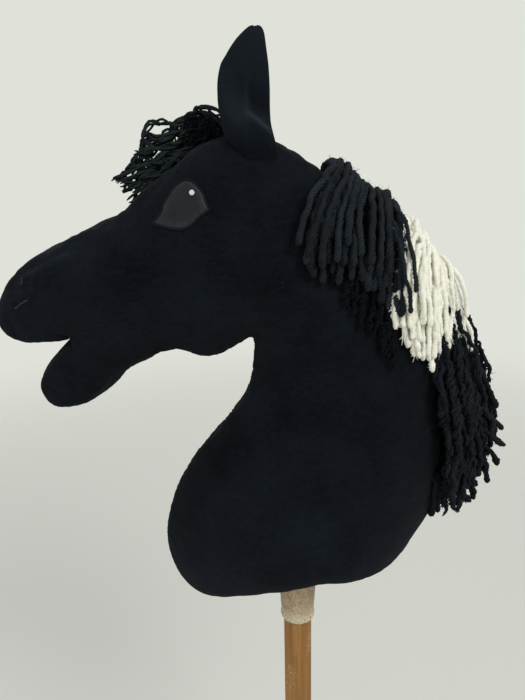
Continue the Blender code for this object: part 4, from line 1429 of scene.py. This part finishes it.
class HORSE_OT_eyes(bpy.types.Operator):
    """Make the satin eye patches with their edging and highlights"""

    bl_idname = "horse.eyes"
    bl_label = "Eyes"

    def execute(self, context):
        eye = context.scene.horse_eye
        outline = smooth_line([spot(p) for p in EYE_OUTLINE], 6, closed=True, sharp=EYE_TIPS)
        x, z = spot(GLINT_CENTRE)
        dot = [(x + across, z + up) for across, up in circle(GLINT_RADIUS * MM, 24)]
        colour = tuple(eye.glint)
        white = ply_material("eye_white", colour, times(colour, 0.7), colour)
        dark = ply_material("eye_edging", colour=(0.013, 0.015, 0.018),
                            between=(0.008, 0.009, 0.011), faded=(0.018, 0.021, 0.024))
        for side, tag in SIDES:
            satin = patch("eye_patch_" + tag, outline, spot(EYE_CENTRE), eye.patch, 0.3 * MM,
                          side, eye_material())
            on_head(satin, "eye_satin", "eye_" + tag)
            glint = patch("eye_highlight_" + tag, dot, (x, z), 0.5 * MM,
                          eye.patch + 0.2 * MM, side, white, rings=3)
            on_head(glint, "eye_white", "eye_glint_" + tag)
            # dark edging thread round the patch and round the highlight; round the patch it also
            # stands in for the shadow at the patch's edge, as painted shade
            edging = Yarn()
            for loop, lift, size in ((outline, 0.55 * MM, 0.55 * MM),
                                     (dot, eye.patch + 0.35 * MM, 0.33 * MM)):
                line = [skin_side(*at, side, lift) for at in (*loop, loop[0])]
                edging.strand(line, size, pitch=4.2 * MM, phase=0, step=0.5 * MM)
            on_head(edging.piece("eye_edging_" + tag, dark), "eye_satin")
        return {"FINISHED"}


class HORSE_OT_nostrils(bpy.types.Operator):
    """Sew the nostril stitches"""

    bl_idname = "horse.nostrils"
    bl_label = "Nostril stitches"

    def execute(self, context):
        colour = tuple(context.scene.horse_eye.thread)
        material = ply_material("nostril_thread", colour, times(colour, 0.4), times(colour, 1.4))
        for side, tag in SIDES:
            thread = Yarn()
            for line in NOSTRIL_LINES:
                path = [skin_side(*at, side, 0.35 * MM)
                        for at in smooth_line([spot(p) for p in line], 6)]
                thread.strand(path, 0.68 * MM, pitch=4.6 * MM, phase=0, step=0.5 * MM)
            on_head(thread.piece("nostril_stitches_" + tag, material), "nostril_thread",
                    "nostril_" + tag)
        return {"FINISHED"}


# Mane: where strands leave the crest, as shares of its seam, and where they end beside the
# neck, as x and height in mm from the front of the mane to its back
FRONT_SPAN = (0.075, 0.238)
FRONT_ENDS = [(0, 268), (7, 265), (18, 264), (31, 262), (45, 254), (59, 245), (73, 232)]
WHITE_SPAN = (0.240, 0.365)
WHITE_ENDS = [(64, 228), (70, 208), (80, 192), (93, 183), (107, 177), (121, 175), (134, 184)]
REAR_SPAN = (0.37, 0.75)
REAR_MIDDLE_ENDS = [(150, 154), (158, 130), (158, 102), (151, 80), (140, 66), (120, 58)]
REAR_SIDE_ENDS = [(104, 150), (112, 128), (121, 104), (124, 84), (120, 62)]


def drape(top, lean, reach, side, off):
    """Half a strand: from its top on the crest, over one side of the neck, to its end."""
    shoulder = top + lean * 0.5 + Vector((0, side * (8 * MM + 0.9 * off), 0))
    above = reach - lean * 0.35 + Vector((0, side * 2 * MM, 34 * MM))
    return rest_on_skin(bezier(top, shoulder, above, reach), off)


def over_crest(halves):
    """Two half strands joined at the crest."""
    near, far = halves
    return np.vstack((near[::-1], far[1:]))


class HORSE_OT_mane_front(bpy.types.Operator):
    """Hang the black yarn of the front of the mane"""

    bl_idname = "horse.mane_front"
    bl_label = "Front of the mane"
    # strands in a layer, how far they lie off the skin, how far below the ends they hang, in mm
    layers = [(15, 3.2, 13), (14, 5.6, 9), (13, 8.6, 0)]
    # loosened ends below them, in the shadow of the others
    under = [(15, 262), (27, 236), (43, 218), (58, 200), (68, 180)]
    under_count = 30
    # single strands that fall over the white yarn: x, height and distance from the middle
    strays = [[(52, 293, 3), (60, 287, 14), (67, 279, 24), (71, 269, 33), (74, 256, 38),
               (75.5, 243, 39), (76, 234, 38)],
              [(55, 291, 12), (60, 278, 28), (64, 265, 36), (66.5, 250, 39), (68, 238, 39),
               (69, 222, 38)]]

    def execute(self, context):
        settings = context.scene.horse_yarn
        rng = random.Random(11)
        yarn = Yarn()
        for count, off, lower in self.layers:
            for k in range(count):
                u = (k + 0.5 + rng.uniform(-0.3, 0.3)) / count
                path = self.hang(u, off * MM, lower, rng)
                radius = settings.radius * rng.uniform(0.88, 1.12)
                yarn.strand(path, radius, settings.pitch * rng.uniform(0.8, 1.25),
                            rng.uniform(0, 6), slub=0.12, flare=0.14)
                fuzz(yarn, path, radius, rng, 700, 0.15 * MM)
        self.stray(yarn, settings, rng)
        obj = yarn.piece("mane_front_yarn", yarn_material("black"))
        on_head(obj, "black_yarn", "mane_front")
        self.lower_tier(settings, rng)
        return {"FINISHED"}

    def lower_tier(self, settings, rng):
        """The loosened ends, as a piece of their own, in the darkened yarn that is painted shade."""
        loose = Yarn()
        for side, _ in SIDES:
            for k in range(self.under_count):
                u = (k + rng.uniform(0, 1)) / self.under_count
                x, h = line_at(self.under, u)
                x += rng.uniform(-3, 3)
                end = skin_side(*spot((x, h + rng.uniform(-8, 14))), side, 3 * MM)
                x, h = line_at(FRONT_ENDS, u)
                top = skin_side(*spot((9 + x * 0.82, h + 20)), side, 3 * MM)
                path = rest_on_skin(bezier(top, mix((top, end), 0.3), mix((top, end), 0.7), end),
                                    2.6 * MM)
                path = wander(path, 3.5 * MM, 20 * MM, rng.uniform(0, 50))
                loose.unpicked(path, 0.8 * settings.radius, rng.uniform(6, 10) * MM,
                               rng.uniform(0, 50))
                fuzz(loose, path, settings.radius, rng, 250)
        # painted shade: these ends take the darkened yarn, for the shadow of the strands above them
        on_head(loose.piece("mane_front_loose_ends", yarn_material("shaded")), "black_yarn")

    def hang(self, u, off, lower, rng):
        """A strand over both sides of the neck, at a share u of the way to the back."""
        point, out = head_skin().crest_at(mix(FRONT_SPAN, u))
        hump = 2.2 + 2.8 * math.cos(math.tau * 1.5 * (u - 0.16)) + rng.uniform(-1, 2.5)
        top = point + out * (off * 0.75 + hump * MM)
        halves = []
        for side, _ in SIDES:
            x, h = line_at(FRONT_ENDS, u)
            x += rng.uniform(-3.5, 3.5)
            h += rng.uniform(-6, 5) - lower * rng.uniform(0.4, 1.4)
            x, z = spot((x, h))
            end = skin_side(x, z, side, off) + Vector((0, side * rng.uniform(0, 3) * MM, 0))
            lean = Vector((rng.uniform(-7, 7) * MM, 0, 0))
            halves.append(drape(top, lean, end, side, off))
        return wander(over_crest(halves), 2.6 * MM, 34 * MM, rng.uniform(0, 50),
                      kink=(0.35 + 0.06 * lower) * MM, kink_length=14 * MM)

    def stray(self, yarn, settings, rng):
        for side, _ in SIDES:
            for line in self.strays:
                points = [Vector((x * MM, side * y * MM, HEAD_FOOT + h * MM)) for x, h, y in line]
                path = respace(smooth_line(points), 3 * MM)
                lifted = np.clip(along_length(path) / (25 * MM), 0, 1)[:, None]
                path += (rest_on_skin(path, 18 * MM, passes=2) - path) * lifted
                yarn.strand(path, 0.66 * settings.radius, settings.pitch, rng.uniform(0, 6),
                            slub=0.15, flare=0.2)


class HORSE_OT_mane_middle(bpy.types.Operator):
    """Hang the white yarn of the middle of the mane"""

    bl_idname = "horse.mane_middle"
    bl_label = "Middle of the mane"
    # strands in a layer, how far off the skin and how far above the ends, in mm
    layers = [(15, 3.2, -1), (16, 5.6, 0), (17, 8.0, 9), (18, 10.4, 18), (17, 12.4, 26)]

    def execute(self, context):
        settings = context.scene.horse_yarn
        rng = random.Random(23)
        yarn = Yarn()
        for count, off, higher in self.layers:
            for k in range(count):
                u = (k + 0.5 + rng.uniform(-0.3, 0.3)) / count
                path = self.hang(u, off * MM, higher, rng)
                radius = settings.radius * rng.uniform(0.72, 0.98)
                yarn.strand(path, radius, settings.pitch * rng.uniform(0.8, 1.1),
                            rng.uniform(0, 6), slub=0.18, flare=0.12)
                for end in (path, path[::-1]):
                    if rng.random() < 0.12:
                        fray(yarn, end, radius, rng, 6)
                fuzz(yarn, path, radius, rng, 350, 0.12 * MM)
        obj = yarn.piece("mane_middle_yarn", yarn_material("white"))
        on_head(obj, "white_yarn", "mane_middle")
        return {"FINISHED"}

    def hang(self, u, off, higher, rng):
        """A strand like those of the front that, further back, leans back over the crest."""
        off *= min(1, 0.35 + 3 * u)
        point, out = head_skin().crest_at(mix(WHITE_SPAN, u))
        top = point + out * (off * mix((0.2, 0.5), u) + (7 * u + rng.uniform(-1, 1)) * MM)
        down = Vector((out.z, 0, -out.x))
        halves = []
        for side, _ in SIDES:
            x, h = line_at(WHITE_ENDS, u)
            back = higher / 24 * max(0, u - 0.3)
            x += rng.uniform(-5, 5) - 12 * back
            h += rng.uniform(-8, 7) + higher
            x, z = spot((x, h))
            on_side = skin_side(x, z, side, off)
            spread = side * (mix((30, 9), u) * MM + 0.6 * off)
            end = Vector((x, spread, z))
            if on_side is not None and abs(on_side.y) > abs(spread):
                end = on_side
            lean = down * mix((4, 34), u) * MM + out * mix((0, 14), u) * MM
            halves.append(drape(top, lean, end, side, off))
        path = wander(over_crest(halves), 3.0 * MM, 30 * MM, rng.uniform(0, 50))
        return wander(path, 1.2 * MM, 7 * MM, rng.uniform(0, 50))


class HORSE_OT_mane_rear(bpy.types.Operator):
    """Hang the kinked black yarn of the back of the mane"""

    bl_idname = "horse.mane_rear"
    bl_label = "Back of the mane"
    rows = 13
    # share of the way from the middle of the neck to its side
    fans = (0.04, 0.22, 0.42, 0.62, 0.82, 1.0)
    # single strands that stand off at the back: start and end beyond the crest, in mm
    loose = [((118, 206), (146, 164)), ((134, 180), (159, 142)), ((140, 152), (168, 116)),
             ((138, 136), (167, 106)), ((136, 120), (163, 92)), ((132, 108), (158, 78)),
             ((124, 96), (151, 62)), ((118, 90), (141, 54)), ((114, 86), (129, 50)),
             ((110, 84), (119, 49)), ((104, 84), (110, 52))]

    def execute(self, context):
        settings = context.scene.horse_yarn
        rng = random.Random(37)
        yarn = Yarn()
        for row in range(self.rows):
            for fan in self.fans:
                for side, _ in SIDES:
                    u = (row + 0.5 + rng.uniform(-0.5, 0.5)) / self.rows
                    path = self.hang(u, fan + rng.uniform(-0.08, 0.08), side, rng)
                    radius = settings.radius * rng.uniform(0.85, 1.15)
                    if rng.random() < 0.5:
                        path = wander(path, 5 * MM, 26 * MM, rng.uniform(0, 50))
                        yarn.unpicked(path, radius, rng.uniform(9, 14) * MM, rng.uniform(0, 50),
                                      spread=0.65, thin=0.62)
                    else:
                        path = wander(path, 5 * MM, 24 * MM, rng.uniform(0, 50), kink=0.9 * MM,
                                      kink_length=10 * MM)
                        yarn.strand(path, 0.85 * radius, settings.pitch, rng.uniform(0, 6),
                                    slub=0.25, flare=0.2, rough=0.09)
                    fuzz(yarn, path, radius, rng, 500, 0.15 * MM)
        for start, end in self.loose:
            for side, _ in SIDES:
                for spread in (3, 15):
                    self.stand_off(yarn, start, end, side * spread, settings, rng)
        obj = yarn.piece("mane_rear_yarn", yarn_material("kinked"))
        on_head(obj, "black_yarn", "mane_rear")
        return {"FINISHED"}

    def stand_off(self, yarn, start, end, spread, settings, rng):
        """One twisted strand whose end stands clear of the others."""
        points = []
        for x, h in (start, mix((np.array(start), np.array(end)), 0.6), end):
            x, z = spot((x + rng.uniform(-4, 2), h + rng.uniform(-4, 4)))
            points.append((x, (spread + rng.uniform(-3, 3)) * MM, z))
        path = respace(smooth_line(points), 3 * MM)
        path = rest_on_skin(wander(path, 4 * MM, 18 * MM, rng.uniform(0, 50)), 3 * MM, passes=2)
        radius = settings.radius * rng.uniform(0.85, 1.1)
        yarn.strand(path, radius, settings.pitch, rng.uniform(0, 6), slub=0.3, flare=0.2)
        fuzz(yarn, path, radius, rng, 300)

    def hang(self, u, fan, side, rng):
        """A strand that leaves the crest at u, from the middle of the neck to one side."""
        point, out = head_skin().crest_at(mix(REAR_SPAN, u))
        fan = min(1.0, max(0.0, fan))
        across = math.sin(fan * math.pi / 2)
        x, h = mix((line_at(REAR_MIDDLE_ENDS, u), line_at(REAR_SIDE_ENDS, u)), fan ** 1.5)
        x, z = spot((x + rng.uniform(-6, 5), h + rng.uniform(-11, 11)))
        lift = mix((mix((17, 12), u), 7), fan) * MM
        top = point + out * (mix((4, 1), fan) + rng.uniform(0, 2)) * MM
        end = Vector((x, side * (mix((3, 34), across) + rng.uniform(-3, 3)) * MM, z))
        # the strands at the front of this part lie lower, behind the white yarn
        sink = mix((12, 0), u)
        shoulder = top + out * lift + Vector((0, side * across * 16 * MM, (4 - sink) * MM))
        above = end + Vector((-sink * MM, side * 3 * MM, (40 - 0.4 * sink) * MM))
        return rest_on_skin(bezier(top, shoulder, above, end), 3.2 * MM, passes=3)


class HORSE_OT_forelock(bpy.types.Operator):
    """Loop the thin black yarn of the forelock over the forehead"""

    bl_idname = "horse.forelock"
    bl_label = "Forelock"
    # Strands seen from the side, in mm
    lines = [
        [(-50, 356), (-54, 361), (-59, 363), (-63, 364), (-68, 363), (-73, 358), (-78, 353),
         (-86, 346), (-95, 339)],
        [(-50, 352), (-62, 358), (-73, 357), (-80, 353), (-90, 351.5), (-97, 351), (-102, 348),
         (-105, 342), (-102, 337), (-96, 334)],
        [(-50, 350), (-63, 353), (-73, 352), (-82, 348), (-90, 347), (-98, 346), (-103, 341),
         (-108, 336), (-113, 331)],
        [(-48, 351), (-56, 356), (-66, 355), (-73, 350), (-82, 343), (-95, 336), (-109, 331),
         (-120, 324), (-127, 318)],
        [(-49, 348), (-58, 352), (-69, 347), (-80, 337), (-92, 331), (-103, 325), (-114, 320),
         (-126, 312)],
        [(-50, 345), (-61, 348), (-73, 341), (-84, 332), (-96, 323), (-106, 317), (-114, 313)],
        [(-52, 342), (-64, 346), (-74, 341), (-83, 331), (-92, 322), (-99, 314), (-106, 308),
         (-113, 305), (-119, 304)],
        [(-50, 347), (-66, 351), (-75, 344), (-79, 337), (-87, 331), (-95, 330), (-104, 330),
         (-110, 326), (-114, 321)],
        [(-52, 353), (-66, 357), (-78, 352), (-88, 344), (-99, 340), (-110, 334), (-118, 327)],
        [(-53, 344), (-64, 343), (-76, 335), (-86, 326), (-93, 317), (-99, 311)],
    ]

    # How far beside the middle the copies of the lines lie, and the lines that each leaves out
    copies = [(-12, ()), (0, (0, 1, 6)), (12, (0, 1, 3, 6, 8))]

    def execute(self, context):
        settings = context.scene.horse_yarn
        rng = random.Random(5)
        yarn = Yarn()
        for depth, left_out in self.copies:
            for number, line in enumerate(self.lines):
                if number in left_out:
                    continue
                y = depth + rng.uniform(-4.5, 4.5)
                path = [Vector(((x + rng.gauss(0, 1.5) * min(i, 2)) * MM, 0,
                                HEAD_FOOT + (h + rng.gauss(0, 1.3) * min(i, 2)) * MM))
                        for i, (x, h) in enumerate(line)]
                for i, p in enumerate(path):
                    spread = i / (len(path) - 1)
                    p.y = y * mix((0.55, 1.25), spread) * MM
                path = respace(smooth_line(path), 3 * MM)
                path = wander(path, 3.4 * MM, 20 * MM, rng.uniform(0, 60))
                path = rest_on_skin(path, settings.forelock_radius + 0.6 * MM, passes=2)
                yarn.unpicked(path, settings.forelock_radius * rng.uniform(0.85, 1.2),
                              rng.uniform(16, 28) * MM, rng.uniform(0, 60), spread=0.85, thin=0.6)
                fuzz(yarn, path, settings.forelock_radius, rng, 120)
        obj = yarn.piece("forelock_yarn", yarn_material("fine"))
        on_head(obj, "black_yarn", "forelock")
        self.fill_root(settings, rng)
        return {"FINISHED"}

    def fill_root(self, settings, rng):
        """Short ends that stand close together where the forelock is sewn on, in the darkened yarn
        that is painted shade.
        """
        root = Yarn()
        for _ in range(54):
            start = spot((rng.uniform(-66, -44), rng.uniform(338, 346)))
            end = spot((rng.uniform(-74, -56), rng.uniform(344, 358)))
            y = rng.uniform(-16, 16) * MM
            points = [(start[0], y, start[1]), (end[0], y * 1.2, end[1]),
                      (end[0] - 8 * MM, y * 1.3, end[1] - rng.uniform(2, 9) * MM)]
            path = rest_on_skin(respace(smooth_line(points), 3 * MM), 1.5 * MM, passes=1)
            root.unpicked(path, settings.forelock_radius, 12 * MM, rng.uniform(0, 60))
        # painted shade: the root takes the darkened yarn, for the shadow it lies in
        on_head(root.piece("forelock_root", yarn_material("shaded")), "black_yarn")


class HORSE_OT_stage(bpy.types.Operator):
    """Set up the floor, the lights and the camera"""

    bl_idname = "horse.stage"
    bl_label = "Floor, light and camera"
    camera_place = (-0.02655, -0.40272, 0.81972)
    camera_pitch = math.radians(15)
    camera_roll = math.radians(-1.349)
    # name, place and width of each lamp, and the place that they all point at
    lamps = [("key", (1.0, -1.15, 1.95), 0.9), ("fill", (-1.4, -1.1, 1.3), 1.1),
             ("back", (0.3, 1.6, 1.7), 1.1)]
    lit_place = (0, 0, 0.72)
    # radii of the floor's rings, and how many points each has
    floor_rings = [0.5, 1.0, 1.6, 2.4, 3.4]
    floor_points = 64

    def execute(self, context):
        scene = context.scene
        stage = scene.horse_stage
        scene.view_settings.view_transform = "Standard"
        self.add_camera(scene)
        self.add_floor(tuple(stage.backdrop))
        self.add_world(scene, tuple(stage.backdrop), stage.room)
        for name, position, size in self.lamps:
            self.add_lamp(name, position, size, stage.key if name == "key" else stage.fill)
        return {"FINISHED"}

    def add_camera(self, scene):
        data = bpy.data.cameras.new("camera")
        data.lens = 27
        data.sensor_width = 36
        data.clip_start = 0.01
        camera = bpy.data.objects.new("camera", data)
        scene.collection.objects.link(camera)
        pitch = self.camera_pitch
        roll = self.camera_roll
        level_up = Vector((0, math.sin(pitch), math.cos(pitch)))
        right = Vector((1, 0, 0)) * math.cos(roll) + level_up * math.sin(roll)
        up = level_up * math.cos(roll) - Vector((1, 0, 0)) * math.sin(roll)
        back = right.cross(up)
        matrix = Matrix((right, up, back)).transposed().to_4x4()
        matrix.translation = self.camera_place
        camera.matrix_world = matrix
        scene.camera = camera

    def add_floor(self, colour):
        """A round floor that fades out with distance."""
        count = self.floor_points
        points = [(0, 0, -0.5 * MM)]
        for radius in self.floor_rings:
            points += [(x, y, -0.5 * MM) for x, y in circle(radius, count)]
        faces = [(0, 1 + k, 1 + (k + 1) % count) for k in range(count)]
        for a in range(1, 1 + (len(self.floor_rings) - 1) * count, count):
            faces += band(a + count, a, count)
        material, nodes = new_material("floor")
        distance = nodes.add("VectorMath", {0: nodes.place()}, operation="LENGTH").outputs["Value"]
        nodes.put(nodes.tree.nodes["Principled BSDF"], {
            "Base Color": colour, "Roughness": 0.9,
            "Alpha": nodes.fade(distance, (0.5, 1.0), (3.0, 0.0))})
        floor = mesh_piece("floor", points, faces, material, smooth=False)

    def add_world(self, scene, colour, strength):
        world = bpy.data.worlds.new("room")
        scene.world = world
        world.use_nodes = True
        nodes = Nodes(world.node_tree)
        nodes.tree.nodes.clear()
        light = nodes.add("Background", {"Color": (1, 1, 1), "Strength": strength})
        seen = nodes.add("Background", {"Color": colour})
        rays = nodes.add("LightPath").outputs
        direct = nodes.math("MAXIMUM", rays["Is Camera Ray"], rays["Is Glossy Ray"])
        either = nodes.add("MixShader", {0: direct, 1: light.outputs[0], 2: seen.outputs[0]})
        nodes.add("OutputWorld", {"Surface": either.outputs[0]})

    def add_lamp(self, name, position, size, power):
        data = bpy.data.lights.new(name, "AREA")
        data.shape = "DISK"
        data.size = size
        data.energy = power
        lamp = bpy.data.objects.new(name, data)
        bpy.context.scene.collection.objects.link(lamp)
        lamp.location = position
        aim = Vector(self.lit_place) - Vector(position)
        lamp.rotation_euler = aim.to_track_quat("-Z", "Y").to_euler()


SETTINGS = {"horse_cloth": HorseCloth, "horse_yarn": HorseYarn, "horse_eye": HorseEye,
            "horse_stick": HorseStick, "horse_stage": HorseStage}
STEPS = [HORSE_OT_head, HORSE_OT_filling, HORSE_OT_ears, HORSE_OT_eyes, HORSE_OT_nostrils,
         HORSE_OT_stick, HORSE_OT_pocket, HORSE_OT_mane_front, HORSE_OT_mane_middle,
         HORSE_OT_mane_rear, HORSE_OT_forelock, HORSE_OT_stage]


class HORSE_PT_panel(bpy.types.Panel):
    """Pieces of the hobby horse"""

    bl_idname = "HORSE_PT_panel"
    bl_label = "Hobby horse"
    bl_space_type = "VIEW_3D"
    bl_region_type = "UI"
    bl_category = "Hobby horse"

    def draw(self, context):
        for name, group in SETTINGS.items():
            box = self.layout.box()
            box.label(text=group.__doc__)
            for setting in group.__annotations__:
                box.prop(getattr(context.scene, name), setting)
        for step in STEPS:
            self.layout.operator(step.bl_idname)


def register():
    for group in (*SETTINGS.values(), *STEPS, HORSE_PT_panel):
        bpy.utils.register_class(group)
    for name, group in SETTINGS.items():
        setattr(bpy.types.Scene, name, bpy.props.PointerProperty(type=group))


def unregister():
    for name in SETTINGS:
        delattr(bpy.types.Scene, name)
    for group in (HORSE_PT_panel, *reversed(STEPS), *reversed(SETTINGS.values())):
        bpy.utils.unregister_class(group)


def main():
    register()
    for step in STEPS:
        category, name = step.bl_idname.split(".")
        getattr(getattr(bpy.ops, category), name)()


if __name__ == "__main__":
    main()
